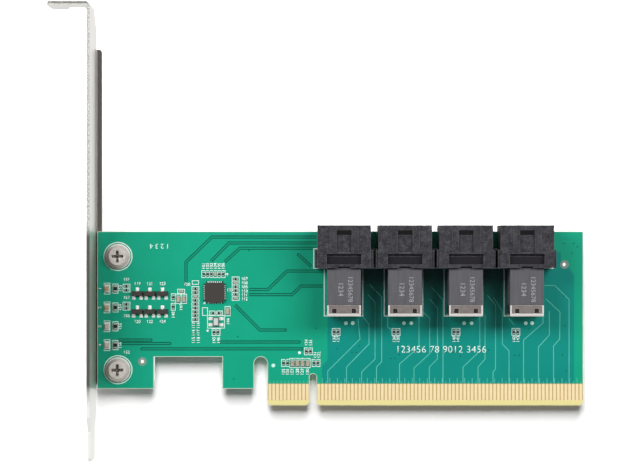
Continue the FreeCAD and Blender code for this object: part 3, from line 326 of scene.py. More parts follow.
# The painted shade round the clock chip, in the same deep mask.
for corners in CLOCK_SHADE_STRIPS:
    lay_track(bm, corners, CLOCK_SHADE_WIDTH, MASK_FACE, MASK_FACE + CLOCK_SHADE_RISE)
finish_piece(bm, "pour_gaps", mask_deep)


# Vias and lands: plated barrels under the mask show as small dark dots. The round lands
# below each socket, the reference dot by the key and the lands under the screws are open
# to the solder, and the mask stays clear of the drilled fixture holes.

VIA_RADIUS = 0.2
VIA_RISE = 1.5 * FIELD_RISE
VIAS = [
    (66.9, 43.3), (69.6, 43.3), (70.6, 42.4), (69.2, 40.7), (20.8, 12.6), (21.9, 12.6),
    (23.0, 13.6), (10.4, 14.2), (11.5, 14.2), (12.3, 15.9), (6.5, 15.2), (37.2, 14.3), (38.2, 14.3),
    (39.3, 13.2), (46.9, 14.8), (53.9, 13.4), (55.1, 13.4), (57.6, 20.4), (22.6, 27.2),
    (38.9, 27.0), (54.6, 27.4), (66.9, 29.3), (67.3, 21.3), (66.6, 13.5), (67.6, 9.2),
    (-17.1, 41.4), (-20.1, 18.4), (0.8, 20.6), (-21.2, 7.1), (-7.4, 20.16), (-4.11, 40.45),
    (-45.93, 15.14), (-2.67, 15.14), (-3.47, 16.96), (-37.92, 16.56), (-42.99, 17.49),
]
TEST_LAND_RADIUS = 0.5
TEST_LANDS = [
    (8.8, 22.0), (10.57, 22.0), (24.3, 22.0), (26.25, 22.0),
    (40.35, 22.0), (42.35, 22.0), (56.8, 22.0), (58.5, 22.0),
]
REFERENCE_DOT = (-10.6, 10.7)
FIXTURE_HOLES = [(-45.6, 11.75), (67.15, 37.65)]
FIXTURE_RING = (0.5, 1.15)
SCREWS = [(-52.07, 39.8), (-52.07, 9.56)]
SCREW_RING = (1.6, 3.36)
LAND_RISE = 0.02
UPRIGHT = Matrix.Rotation(math.radians(90), 4, "X")


def on_card(x, z, level, turn=0):
    """The frame of a flat shape on the component side, or on the back for a negative level."""
    side = 0 if level > 0 else 180
    return (
        Matrix.Translation((x, -level, z)) @ Matrix.Rotation(math.radians(side), 4, "Z") @ UPRIGHT
        @ Matrix.Rotation(math.radians(turn), 4, "Z"))


def lay_disc(bm, x, z, radius, low, high, hole=0.0, segments=24):
    """A round land, with a hole where one is given."""
    made = bmesh.ops.create_circle(
        bm, cap_ends=True, radius=radius, segments=segments, matrix=on_card(x, z, low))
    disc = made["verts"][0].link_faces[0]
    faces = [disc]
    if hole:
        faces = bmesh.ops.inset_individual(bm, faces=[disc], thickness=radius - hole)["faces"]
        bmesh.ops.delete(bm, geom=[disc], context="FACES_ONLY")
    thicken(bm, faces, high - low)


# Hot-levelled tin: bright and half glossy, with the soft waves of a solder skin.
tin = mottled_finish(
    "levelled_tin", 0.7, 3, "#D2D1CB", "#F0EFEA",
    {"Metallic": 0.6, "Roughness": 0.32}, relief=(0.35, 0.03))

# Matt tin: the white, frosted skin of a joint that cooled slowly.
matt_tin = mottled_finish(
    "matt_tin", 0.3, 3, "#DADCD8", "#F8F9F6", {"Metallic": 0.2, "Roughness": 0.5})

# Bare laminate round the fixture holes: the weave's grey with a breath of green.
bare_laminate = mottled_finish(
    "bare_laminate", 0.4, 2, "#6B857B", "#93A99C", {"Roughness": 0.5, "IOR": 1.5})

# Bare lands under a flux glaze: pale mint, since the mask's green runs into the glaze.
glazed_land = mottled_finish(
    "flux_glazed_land", 0.4, 2, "#B4F4E0", "#DFFFF4",
    {"Roughness": 0.35, "IOR": 1.5, "Coat Weight": 0.3})

bm = bmesh.new()
for x, z in VIAS:
    lay_disc(bm, x, z, VIA_RADIUS, MASK_FACE, MASK_FACE + VIA_RISE, segments=12)
    lay_disc(bm, x, z, VIA_RADIUS, -MASK_FACE, -MASK_FACE - VIA_RISE, segments=12)
finish_piece(bm, "tented_vias", mask_deep)

bm = bmesh.new()
for x, z in [*TEST_LANDS, REFERENCE_DOT]:
    lay_disc(bm, x, z, TEST_LAND_RADIUS, MASK_FACE, MASK_FACE + LAND_RISE)
finish_piece(bm, "bare_lands", glazed_land)

bm = bmesh.new()
for side in (1, -1):
    for x, z in FIXTURE_HOLES:
        hole, ring = FIXTURE_RING
        lay_disc(bm, x, z, ring, side * MASK_FACE, side * (MASK_FACE + LAND_RISE), hole)
finish_piece(bm, "fixture_rings", bare_laminate)

bm = bmesh.new()
for x, z in SCREWS:
    hole, ring = SCREW_RING
    lay_disc(bm, x, z, ring, MASK_FACE, MASK_FACE + LAND_RISE, hole, segments=48)
finish_piece(bm, "screw_lands", matt_tin, smooth=30)


# Edge contacts: copper strips with a hard gilded skin over nickel, on the tongue's two
# faces. The ground between them is bare resin, a little browner than the cut edges.

GROUND_RISE = 0.012
GROUND_SPANS = [(-12.05, -1.05), (1.05, 72.05)]
FIRST_CONTACT = 1.5
CONTACTS = 71
KEY_CONTACTS = 11
STUB_WIDTH = 0.16
STUB_FOOT = 5.9
STUB_TOPS = (6.5, 7.3)
KEY_STUB_TOP = 6.6

# Hard gold over nickel: pale yellow, satin, with fine wiping marks along the strips.
gilt = new_material("hard_gold_plate")
place = add_node(gilt, "TexCoord", {}).outputs["Object"]
along = add_node(gilt, "Mapping", {"Vector": place, "Scale": (1, 1, 0.08)})
wipes = add_node(gilt, "TexNoise", {"Vector": along, "Scale": 1 / (0.25 * MM), "Detail": 4})
yellow = add_node(
    gilt, "Mix", {0: wipes, 6: linear("#F2DAA2"), 7: linear("#FFF0CA")}, data_type="RGBA")
marks = add_node(gilt, "Bump", {"Height": wipes, "Strength": 0.2, "Distance": 0.01 * MM})
body = add_node(
    gilt, "BsdfPrincipled",
    {"Base Color": yellow, "Metallic": 0.3, "Roughness": 0.5, "Normal": marks})
add_node(gilt, "OutputMaterial", {"Surface": body})
coat(gilt, "edge_contacts_front", "edge_contacts_back")
coat(gilt, *(f"socket_{number}_contacts" for number in range(1, 5)))

# Resin between the contacts: tan, matt.
resin = mottled_finish("bare_resin", 0.5, 2, "#B8934F", "#D0B070", {"Roughness": 0.6, "IOR": 1.52})


def lay_patch(bm, x, z, width, height, low, high):
    """A flat rectangle between two levels of the card."""
    before = set(bm.faces)
    bmesh.ops.create_grid(
        bm, x_segments=1, y_segments=1, size=0.5,
        matrix=on_card(x, z, low) @ Matrix.Diagonal((width, height, 1, 1)))
    thicken(bm, list(set(bm.faces) - before), high - low)


bm = bmesh.new()
for side in (1, -1):
    for left, right in GROUND_SPANS:
        lay_patch(
            bm, (left + right) / 2, (BEVEL_TOP + MASK_STOP) / 2, right - left,
            MASK_STOP - BEVEL_TOP, side * BOARD_FACE, side * (BOARD_FACE + GROUND_RISE))
finish_piece(bm, "contact_ground", resin)

bm = bmesh.new()
stubs = [(FIRST_CONTACT + number, STUB_TOPS[number % 2]) for number in range(CONTACTS)]
stubs += [(-FIRST_CONTACT - number, KEY_STUB_TOP) for number in range(KEY_CONTACTS)]
for x, top in stubs:
    lay_track(bm, [(x, STUB_FOOT), (x, top)], STUB_WIDTH, MASK_FACE, TRACK_FACE)
finish_piece(bm, "contact_tails", mask_ridge)


# Bracket: one folded sheet of bright plated steel. The plate stands across the card's
# end, and its lip and two tapped tabs lie behind the board under the screws.

LIP_LEVEL = -2.0
TAB_EDGE = (105.5, 106.0)
BESIDE_TOP = (48.0, 45.0)
BESIDE_FOOT = (0.5, 6.5)

# Bright zinc on rolled steel: the rolling lines run up the plate, with faint stains. The
# sheared front edge is torn and dull, and darker along the tab's top. The lip is made dark
# and dull as a painted reflection. The faces beside the board carry painted shade where the
# board occludes them, warmer beside the board, and the plate's lower end a painted highlight.
steel = new_material("zinc_plated_steel")
place = add_node(steel, "TexCoord", {}).outputs["Object"]
upward = add_node(steel, "Mapping", {"Vector": place, "Scale": (1, 1, 0.03)})
lines = add_node(steel, "TexNoise", {"Vector": upward, "Scale": 1 / (0.35 * MM), "Detail": 5})
stains = add_node(steel, "TexNoise", {"Vector": place, "Scale": 1 / (4 * MM), "Detail": 3})
worn = add_node(steel, "Math", {0: lines, 1: stains}, operation="MULTIPLY")
zinc = add_node(
    steel, "Mix", {0: worn, 6: linear("#F2F1EC"), 7: linear("#DCDBD5")}, data_type="RGBA")
spot = add_node(steel, "SeparateXYZ", {"Vector": place})
face = add_node(steel, "NewGeometry", {})
face = add_node(steel, "SeparateXYZ", {"Vector": face.outputs["Normal"]})
fronting = add_node(steel, "Math", {0: face.outputs["Y"], 1: -0.8}, operation="LESS_THAN")
behind = add_node(
    steel, "Math", {0: spot.outputs["Y"], 1: LIP_LEVEL * MM}, operation="GREATER_THAN")
sheared = add_node(steel, "Math", {0: fronting, 1: behind}, operation="SUBTRACT", use_clamp=True)
burr = add_node(steel, "TexNoise", {"Vector": place, "Scale": 1 / (0.4 * MM), "Detail": 2})
torn = add_node(steel, "MapRange", {"Value": burr, "From Min": 0.38, "From Max": 0.62})
torn = add_node(
    steel, "Mix", {0: torn, 6: linear("#ABAAA5"), 7: linear("#E2E1DC")}, data_type="RGBA")
topmost = add_node(
    steel, "MapRange",
    {"Value": spot.outputs["Z"], "From Min": TAB_EDGE[0] * MM, "From Max": TAB_EDGE[1] * MM})
torn = add_node(steel, "Mix", {0: topmost, 6: torn, 7: linear("#5C5B57")}, data_type="RGBA")
zinc = add_node(steel, "Mix", {0: sheared, 6: zinc, 7: torn}, data_type="RGBA")
# Painted dark reflection: the lip's front faces are made dark and dull.
lip = add_node(steel, "Math", {0: fronting, 1: behind}, operation="MULTIPLY")
# Painted shade: the plate darkens where the board occludes it, with a warm tint beside it.
corner = add_node(steel, "AmbientOcclusion", {"Distance": 30 * MM}, samples=8)
shade_and_shear = add_node(
    steel, "MapRange", {"Value": corner.outputs["AO"], "From Min": 0.95, "From Max": 0.7})
shade_and_shear = add_node(steel, "Math", {0: shade_and_shear, 1: sheared}, operation="MAXIMUM")
low = add_node(
    steel, "MapRange",
    {"Value": spot.outputs["Z"], "From Min": BESIDE_TOP[0] * MM, "From Max": BESIDE_TOP[1] * MM})
high = add_node(
    steel, "MapRange",
    {"Value": spot.outputs["Z"], "From Min": BESIDE_FOOT[0] * MM, "From Max": BESIDE_FOOT[1] * MM})
beside = add_node(steel, "Math", {0: low, 1: high}, operation="MULTIPLY")
shade_and_shear = add_node(steel, "Math", {0: shade_and_shear, 1: beside}, operation="MULTIPLY")
shade_and_shear = add_node(steel, "Math", {0: shade_and_shear, 1: lip}, operation="MAXIMUM")
shade_and_shear_tone = add_node(
    steel, "Mix", {0: low, 6: linear("#5E5B57"), 7: linear("#80736D")}, data_type="RGBA")
shade_and_shear_tone = add_node(steel, "Mix", {0: sheared, 6: shade_and_shear_tone, 7: linear("#5E5D58")}, data_type="RGBA")
zinc = add_node(steel, "Mix", {0: shade_and_shear, 6: zinc, 7: shade_and_shear_tone}, data_type="RGBA")
# Painted highlight: the plate's lower end, below the board's foot, goes near white.
below = add_node(steel, "Math", {0: 1.0, 1: high}, operation="SUBTRACT")
zinc = add_node(steel, "Mix", {0: below, 6: zinc, 7: linear("#F8F7F2")}, data_type="RGBA")
dull = add_node(steel, "Math", {0: sheared, 1: shade_and_shear}, operation="MAXIMUM")
bright = add_node(steel, "MapRange", {"Value": dull, "To Min": 0.85, "To Max": 0.1})
rolled = add_node(steel, "Bump", {"Height": lines, "Strength": 0.25, "Distance": 0.01 * MM})
body = add_node(
    steel, "BsdfPrincipled",
    {
        "Base Color": zinc, "Metallic": bright, "Roughness": 0.31, "Specular IOR Level": 0.1,
        "Normal": rolled,
    })
add_node(steel, "OutputMaterial", {"Surface": body})
coat(steel, "mounting_bracket")


# Bracket screws: cold-headed, with rounded rims and a struck cross recess, bright nickel
# plated. They pass through the board into the bracket's tapped tabs.

SCREW_RIM = 0.16
RECESS_LEVEL = 1.75
RECESS_REACH = 2.3
SHARP_EDGE = math.radians(30)


def soften(name, rim, segments):
    """A copy of a CAD node with its sharp edges rounded."""
    bm = copy_solid(name)
    sharp = [
        edge for edge in bm.edges
        if len(edge.link_faces) == 2 and edge.calc_face_angle() > SHARP_EDGE
    ]
    bmesh.ops.bevel(
        bm, geom=sharp, offset=rim, segments=segments, profile=0.5, affect="EDGES", material=-1,
        clamp_overlap=True)
    return bm


# Nickel plate over a headed blank: bright on the flat, with handling marks, and greyer on
# the slopes as painted shade; the struck recess is a crumple of painted glints and shade.
nickel = new_material("nickel_plated_steel")
place = add_node(nickel, "TexCoord", {}).outputs["Object"]
scuffs = add_node(nickel, "TexNoise", {"Vector": place, "Scale": 1 / (0.5 * MM), "Detail": 5})
silver = add_node(
    nickel, "Mix", {0: scuffs, 6: linear("#FFFAF3"), 7: linear("#D2C9C0")}, data_type="RGBA")
spot = add_node(nickel, "SeparateXYZ", {"Vector": place})
sunk = add_node(
    nickel, "Math",
    {0: spot.outputs["Y"], 1: -(BOARD_FACE + RECESS_LEVEL) * MM}, operation="GREATER_THAN")
axes = [Vector((x, -BOARD_FACE, z)) * MM for x, z in SCREWS]
distance = [
    add_node(nickel, "VectorMath", {0: place, 1: axis}, operation="DISTANCE") for axis in axes
]
nearest = add_node(nickel, "Math", {0: distance[0], 1: distance[1]}, operation="MINIMUM")
central = add_node(nickel, "Math", {0: nearest, 1: RECESS_REACH * MM}, operation="LESS_THAN")
recess = add_node(nickel, "Math", {0: sunk, 1: central}, operation="MULTIPLY")
# Painted glints and shade: a crumple of dark and light in the recess.
struck = add_node(nickel, "MapRange", {"Value": scuffs, "From Min": 0.42, "From Max": 0.58})
struck = add_node(
    nickel, "Mix", {0: struck, 6: linear("#4A433E"), 7: linear("#D8D0C8")}, data_type="RGBA")
silver = add_node(nickel, "Mix", {0: recess, 6: silver, 7: struck}, data_type="RGBA")
face = add_node(nickel, "NewGeometry", {})
face = add_node(nickel, "SeparateXYZ", {"Vector": face.outputs["Normal"]})
# Painted shade: the slopes that turn from the face are greyer.
slope_shade = add_node(
    nickel, "MapRange",
    {"Value": face.outputs["Y"], "From Min": -0.95, "From Max": -0.75, "To Max": 0.6})
silver = add_node(nickel, "Mix", {0: slope_shade, 6: silver, 7: linear("#ADA39A")}, data_type="RGBA")
dents = add_node(nickel, "Bump", {"Height": scuffs, "Strength": 0.2, "Distance": 0.02 * MM})
body = add_node(
    nickel, "BsdfPrincipled",
    {"Base Color": silver, "Metallic": 0.25, "Roughness": 0.3, "Normal": dents})
add_node(nickel, "OutputMaterial", {"Surface": body})

for name in ("upper_bracket_screw", "lower_bracket_screw"):
    bm = soften(name, SCREW_RIM, 3)
    screw = finish_piece(bm, f"{name}_rounded", nickel, smooth=20)
    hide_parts(name)


# Sockets: each is a moulded black shroud with a block of contact wafers behind it and a
# stamped clip that ties the wafers at the end. All their edges are lightly rounded.

SOCKET_PITCH = 16.0
SOCKETS = [8.16 + SOCKET_PITCH * number for number in range(4)]
HOUSING_RIM = 0.1
WAFER_RIM = 0.08
CLIP_RIM = 0.05
HEAD_REAR = 36.9
MOUTH_REACH = 6.0
MOUTH_ROOF = 10.4
CLIP_TOP = 26.9
CLIP_REACH = 4.0
CLIP_FOOT = 24.9


def near_socket(material, spot, reach):
    """1 within a reach of the middle line of any socket, and 0 elsewhere."""
    half = SOCKET_PITCH / 2
    across = add_node(
        material, "Math", {0: spot.outputs["X"], 1: (SOCKETS[0] - half) * MM}, operation="SUBTRACT")
    across = add_node(
        material, "Math", {0: across, 1: SOCKET_PITCH * MM}, operation="FLOORED_MODULO")
    return add_node(material, "Math", {0: across, 1: half * MM, 2: reach * MM}, operation="COMPARE")


def rubbed_edges(material, radius, bend):
    """1 along a piece's edges, where a round of that radius turns by the bend, 0 on flats."""
    rounded = add_node(material, "Bevel", {"Radius": radius * MM}, samples=6)
    flat = add_node(material, "NewGeometry", {})
    turned = add_node(
        material, "VectorMath", {0: rounded, 1: flat.outputs["Normal"]}, operation="DOT_PRODUCT")
    return add_node(material, "MapRange", {"Value": turned, "From Min": 0.99, "From Max": bend})


# Glass-filled polymer, moulded: near black, matt, mottled grey by the flow and the glass,
# with painted highlights along the edges and painted shade, blackest, inside the mouth.
moulded = new_material("glass_filled_polymer")
place = add_node(moulded, "TexCoord", {}).outputs["Object"]
flow = add_node(
    moulded, "TexNoise", {"Vector": place, "Scale": 1 / (1.6 * MM), "Detail": 6, "Roughness": 0.7})
glass = add_node(moulded, "TexNoise", {"Vector": place, "Scale": 1 / (0.3 * MM), "Detail": 3})
grain = add_node(moulded, "Math", {0: flow, 1: glass}, operation="MULTIPLY")
lift = add_node(moulded, "MapRange", {"Value": grain, "From Min": 0.17, "From Max": 0.36})
black = add_node(
    moulded, "Mix", {0: lift, 6: linear("#222125"), 7: linear("#4B4A50")}, data_type="RGBA")
# Painted highlight: lighter along the edges.
edge = rubbed_edges(moulded, 0.22, 0.75)
black = add_node(moulded, "Mix", {0: edge, 6: black, 7: linear("#67666C")}, data_type="RGBA")
spot = add_node(moulded, "SeparateXYZ", {"Vector": place})
# Painted shade: near black inside the mouth.
walled = near_socket(moulded, spot, MOUTH_REACH)
roofed = add_node(
    moulded, "Math", {0: spot.outputs["Y"], 1: -MOUTH_ROOF * MM}, operation="GREATER_THAN")
mouth = add_node(moulded, "Math", {0: walled, 1: roofed}, operation="MULTIPLY")
black = add_node(moulded, "Mix", {0: mouth, 6: black, 7: linear("#060607")}, data_type="RGBA")
pits = add_node(moulded, "Bump", {"Height": glass, "Strength": 0.35, "Distance": 0.02 * MM})
body = add_node(
    moulded, "BsdfPrincipled",
    {"Base Color": black, "Roughness": 0.55, "Specular IOR Level": 0.2, "Normal": pits})
add_node(moulded, "OutputMaterial", {"Surface": body})

# The same polymer in the wafers: smoother and greyer, with drag lines along it, and
# painted shade, black, under the head where its rear window shows it.
wafer_polymer = new_material("drawn_grey_polymer")
place = add_node(wafer_polymer, "TexCoord", {}).outputs["Object"]
along = add_node(wafer_polymer, "Mapping", {"Vector": place, "Scale": (1, 1, 0.06)})
drag = add_node(wafer_polymer, "TexNoise", {"Vector": along, "Scale": 1 / (0.3 * MM), "Detail": 4})
grey = add_node(
    wafer_polymer, "Mix", {0: drag, 6: linear("#4E4D52"), 7: linear("#69686D")}, data_type="RGBA")
lines = add_node(wafer_polymer, "Bump", {"Height": drag, "Strength": 0.2, "Distance": 0.01 * MM})
height = add_node(wafer_polymer, "SeparateXYZ", {"Vector": place})
shaded_under_head = add_node(
    wafer_polymer, "Math", {0: height.outputs["Z"], 1: HEAD_REAR * MM}, operation="GREATER_THAN")
grey = add_node(
    wafer_polymer, "Mix", {0: shaded_under_head, 6: grey, 7: linear("#1C1A1F")}, data_type="RGBA")
pegs = add_node(
    wafer_polymer, "Math", {0: height.outputs["Z"], 1: CLIP_TOP * MM}, operation="LESS_THAN")
grey = add_node(wafer_polymer, "Mix", {0: pegs, 6: grey, 7: linear("#2A2224")}, data_type="RGBA")
body = add_node(
    wafer_polymer, "BsdfPrincipled",
    {"Base Color": grey, "Roughness": 0.42, "Specular IOR Level": 0.25, "Normal": lines})
add_node(wafer_polymer, "OutputMaterial", {"Surface": body})

# Tinned steel strip, stamped: warm grey and satin in its middle over the wafers, pale round
# that, with painted highlights along its edges.
stamped = new_material("tinned_steel_strip")
place = add_node(stamped, "TexCoord", {}).outputs["Object"]
rubs = add_node(stamped, "TexNoise", {"Vector": place, "Scale": 1 / (0.8 * MM), "Detail": 4})
satin = add_node(
    stamped, "Mix", {0: rubs, 6: linear("#766D6A"), 7: linear("#A39A96")}, data_type="RGBA")
spot = add_node(stamped, "SeparateXYZ", {"Vector": place})
inner = near_socket(stamped, spot, CLIP_REACH)
above = add_node(
    stamped, "Math", {0: spot.outputs["Z"], 1: CLIP_FOOT * MM}, operation="GREATER_THAN")
middle = add_node(stamped, "Math", {0: inner, 1: above}, operation="MULTIPLY")
satin = add_node(stamped, "Mix", {0: middle, 6: linear("#F1ECE8"), 7: satin}, data_type="RGBA")
# Painted highlight: lighter along the edges and hole rims.
edge = rubbed_edges(stamped, 0.2, 0.8)
satin = add_node(stamped, "Mix", {0: edge, 6: satin, 7: linear("#F1ECE8")}, data_type="RGBA")
body = add_node(
    stamped, "BsdfPrincipled", {"Base Color": satin, "Metallic": 0.6, "Roughness": 0.42})
add_node(stamped, "OutputMaterial", {"Surface": body})

for number in range(1, 5):
    for part, rim, material, slot in (
        ("housing", HOUSING_RIM, moulded, "housing_plastic"),
        ("wafer_stack", WAFER_RIM, wafer_polymer, "wafer_plastic"),
        ("rear_clip", CLIP_RIM, stamped, "clip_steel"),
    ):
        name = f"socket_{number}_{part}"
        piece = finish_piece(soften(name, rim, 2), f"{name}_rounded", material)
        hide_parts(name)


# Press-fit tails: the sockets' square pins, drawn and tinned, are pressed through plated
# holes, and their ends stand a little out of the card's back.

TAIL_COLUMNS = 9
TAIL_ROWS = 6
TAIL_PITCH = (0.95, 1.5)
TAIL_TOP = 36.0
TAIL_SIZE = 0.34
TAIL_LENGTH = 0.75
TAIL_RING = 0.36

rings = bmesh.new()
pins = bmesh.new()
for middle in SOCKETS:
    for row in range(TAIL_ROWS):
        for column in range(TAIL_COLUMNS):
            x = middle + (column - (TAIL_COLUMNS - 1) / 2) * TAIL_PITCH[0]
            z = TAIL_TOP - row * TAIL_PITCH[1]
            lay_disc(rings, x, z, TAIL_RING, -MASK_FACE, -MASK_FACE - LAND_RISE, segments=12)
            lay_patch(pins, x, z, TAIL_SIZE, TAIL_SIZE, -MASK_FACE, -MASK_FACE - TAIL_LENGTH)
finish_piece(rings, "tail_rings", tin)
finish_piece(pins, "press_fit_tails", tin)


# Chip resistors and capacitors: fired ceramic blocks with tinned ends, each end standing
# in a small fillet of solder on its land. The other small parts are soldered with them.

FILLET_REACH = 0.1
FILLET_MARGIN = 0.04
FILLET_CLIMB = 0.7
FILLET_CAP = 0.02
LEAD_REACH = 0.5
LEAD_SPREAD = 0.3
LEAD_CLIMB = 0.2
TRANSISTOR_ROWS = (29.9, 25.1)


def solids_of(name):
    """The lowest and highest corner of each solid in a CAD node, in the node's order."""
    bm = copy_solid(name)
    boxes = []
    seen = set()
    for start in bm.verts:
        if start in seen:
            continue
        seen.add(start)
        joined = [start]
        for vert in joined:
            for edge in vert.link_edges:
                other = edge.other_vert(vert)
                if other not in seen:
                    seen.add(other)
                    joined.append(other)
        spots = [vert.co for vert in joined]
        boxes.append([
            Vector([end(spot[axis] for spot in spots) for axis in range(3)]) for end in (min, max)
        ])
    bm.free()
    return boxes


def lay_fillet(bm, box, outward, reach=FILLET_REACH, margin=FILLET_MARGIN, climb=FILLET_CLIMB):
    """Solder from a land up the end of a terminal; outward points away from the chip."""
    low, high = box
    for vert in bmesh.ops.create_cube(bm, size=2)["verts"]:
        at_board = vert.co.y > 0
        for axis in (0, 2):
            side = 1 if vert.co[axis] > 0 else -1
            spread = reach if side * outward[axis] > 0 else margin
            edge = high[axis] if side > 0 else low[axis]
            vert.co[axis] = edge + side * (spread if at_board else FILLET_CAP)
        vert.co.y = -BOARD_FACE if at_board else high.y - climb * (high.y - low.y)


chips = []
for kind in ("resistor", "capacitor", "led"):
    ends = solids_of(f"{kind}_terminals")
    for first, second in zip(ends[::2], ends[1::2]):
        chips.append((kind, first, second))

joints = bmesh.new()
white_joints = bmesh.new()
for kind, first, second in chips:
    middle = sum(first + second, Vector()) / 4
    for end in (first, second):
        outward = (end[0] + end[1]) / 2 - middle
        outward = Vector([round(step, 2) for step in outward])
        lay_fillet(white_joints if kind == "led" else joints, end, outward)
for low, high in solids_of("transistor_leads"):
    middle = (low.z + high.z) / 2
    row = min(TRANSISTOR_ROWS, key=lambda z: abs(z - middle))
    outward = Vector((0, 0, middle - row))
    lay_fillet(white_joints, (low, high), outward, LEAD_REACH, LEAD_SPREAD, LEAD_CLIMB)
finish_piece(joints, "chip_joints", tin)
finish_piece(white_joints, "lead_joints", matt_tin)
coat(tin, "resistor_terminals", "capacitor_terminals")
coat(matt_tin, "led_terminals", "transistor_leads", "clock_chip_lands", "crystal_lands")

# Glazed resistor film: blue-black and glossy over white ceramic.
film_black = mottled_finish(
    "glazed_resistor_film", 0.3, 2, "#17181A", "#2A2B2E", {"Roughness": 0.3, "IOR": 1.5})
coat(film_black, "resistor_bodies")

# Fired barium titanate: biscuit brown to cream from batch to batch, waxy.
biscuit = mottled_finish(
    "fired_capacitor_ceramic", 1.4, 1, "#8C7358", "#CDBFA6", {"Roughness": 0.5, "IOR": 1.6})
coat(biscuit, "capacitor_bodies")


# Indicator lamps: a white laminate base with plated ends under a clear moulded lens.
# The upper two have an amber die, the lower two a pale one.

# White laminate: chalky, slightly warm.
white_base = mottled_finish(
    "white_laminate", 0.3, 2, "#DEDCD2", "#F2F0E8", {"Roughness": 0.6, "IOR": 1.5})
coat(white_base, "led_bases")

# Clear epoxy over a die: glossy, with the colour of the die drifting through it.
for name, tint, core, lamps in (
    ("amber_lens_epoxy", "#D9C29A", "#A87B4C", ("led_1", "led_2")),
    ("pale_lens_epoxy", "#E4DCD0", "#B7A294", ("led_3", "led_4")),
):
    lens_epoxy = mottled_finish(
        name, 0.6, 2, tint, core, {"Roughness": 0.2, "IOR": 1.53, "Coat Weight": 0.4})
    coat(lens_epoxy, *lamps)


# Driver transistors and clock chip: moulded epoxy packages. The clock chip has no leads
# and stands on rows of tinned lands, and a printed dot beside it marks its first corner.

# Moulding epoxy: warm black, eroded satin from the mould.
epoxy = mottled_finish(
    "moulding_epoxy", 0.25, 4, "#241F1B", "#37312D",
    {"Roughness": 0.5, "IOR": 1.55}, relief=(0.3, 0.01))
coat(epoxy, "clock_chip", *(f"transistor_{number}" for number in range(1, 7)))


# Crystal: a quartz plate shut in a dark fired ceramic tray, with a metal lid welded round
# its seam. It stands on four tinned lands below the clock chip.

# Alumina tray: green-grey slate, matt.
slate = mottled_finish(
    "dark_alumina", 0.3, 2, "#46544F", "#63726B", {"Roughness": 0.6, "IOR": 1.7})
coat(slate, "crystal_base")

# Welded lid: dull nickel-cobalt sheet.
lid_metal = mottled_finish(
    "nickel_cobalt_lid", 0.4, 3, "#C2CDC8", "#E9EFEC", {"Metallic": 0.4, "Roughness": 0.45})
coat(lid_metal, "crystal_lid")


# Legend: white ink printed through a screen on the mask. It boxes each chip and socket,
# rings the screws, and numbers the parts with plain figures.

INK_RISE = 0.02
INK_LEVEL = MASK_FACE + FIELD_RISE
INK_LEVELS = (INK_LEVEL, INK_LEVEL + INK_RISE)
INK_LINE = 0.22
CHIP_MARGIN = (0.265, 0.4)
LED_MARGIN = (0.12, 0.42)
RING_LINE = 0.34
SOCKET_BOXES = [(5.1, 23.95, 37.6), (7.9, 36.7, 41.8)]
SCREW_PRINT = (3.61, 3.87)
DOTS = [(-28.97, 27.37, 0.3), (-28.14, 20.0, 0.3), (-3.6, 14.1, 0.4)]
FIGURE_SHARE = 0.7
FIGURE_HEIGHT = 0.82
LABEL_SPREAD = 0.025
FIGURE_FUSE = 0.001
FIRST_LABEL = 101
LAMP_FIGURES = [(-56.9, 31.24), (-56.9, 26.17), (-56.9, 21.1), (-56.9, 16.15)]
PART_BOXES = [(-31.4, 32.84, 1.6, 0.9), (-28.84, 25.1, 1.3, 2.0), (-25.9, 22.35, 4.5, 3.3)]
TOP_FIGURES = ("1 2 3 4", -41.0, 42.6, 1.3, 180)
LONG_FIGURES = ("123456 78 9012 3456", 34.2, 14.9, 1.85)
LONG_SPREAD = -0.02
LONG_SPACE = 1.04
LABELS = [
    *((x, 37.2, 90) for x in (-29.2, -28.15, -27.1, -26.05, -25.0, -24.0)),
    *((-18.3, z, 0) for z in (33.8, 32.7, 31.6, 30.5, 29.45, 28.4)),
    *((x, z, 90) for x in (-31.9, -30.6) for z in (21.4, 19.4, 17.4)),
    *((x, z, 0) for x in (-46.9, -43.6, -40.2) for z in (32.5, 22.4)),
    *((x, 8.95, 90) for x in (-7.88, -6.81, -5.53, -4.14, -2.86, -1.47)),
    *((x, 13.5, 90) for x in (0.55, 1.6)), (-22.2, 30.8, 0),
    *((x, 16.75, 90) for x in (-1.74, -0.6)),
    *((x + SOCKET_PITCH * socket, 17.7, 90) for socket in range(4) for x in (5.7, 6.75)),
    (-22.6, 22.4, 90), (-26.4, 17.4, 90), (-25.2, 17.4, 90), (-35.2, 26.2, 90), (-37.3, 24.2, 90),
    (-23.5, 34.9, 0), (-33.6, 32.3, 0), (-49.8, 33.6, 0), (-49.8, 14.2, 0),
    *((-51.5, z, 90) for z in (31.3, 26.2, 21.1, 16.1)), (-49.8, 28.8, 0), (-49.8, 23.9, 0),
]

# Epoxy ink: white, chalky, with a breath of the green below where the screen laid it thin.
ink = mottled_finish("legend_ink", 0.35, 2, "#D6F5EC", "#F8FFFD", {"Roughness": 0.6, "IOR": 1.5})


def print_box(bm, left, right, bottom, top, line=INK_LINE):
    """A printed outline of a rectangle."""
    size = Matrix.Diagonal((right - left + line, top - bottom + line, 1, 1))
    made = bmesh.ops.create_grid(
        bm, x_segments=1, y_segments=1, size=0.5,
        matrix=on_card((left + right) / 2, (bottom + top) / 2, INK_LEVEL) @ size)
    sheet = made["verts"][0].link_faces[0]
    rim = bmesh.ops.inset_individual(bm, faces=[sheet], thickness=line)["faces"]
    bmesh.ops.delete(bm, geom=[sheet], context="FACES")
    thicken(bm, rim, INK_RISE)


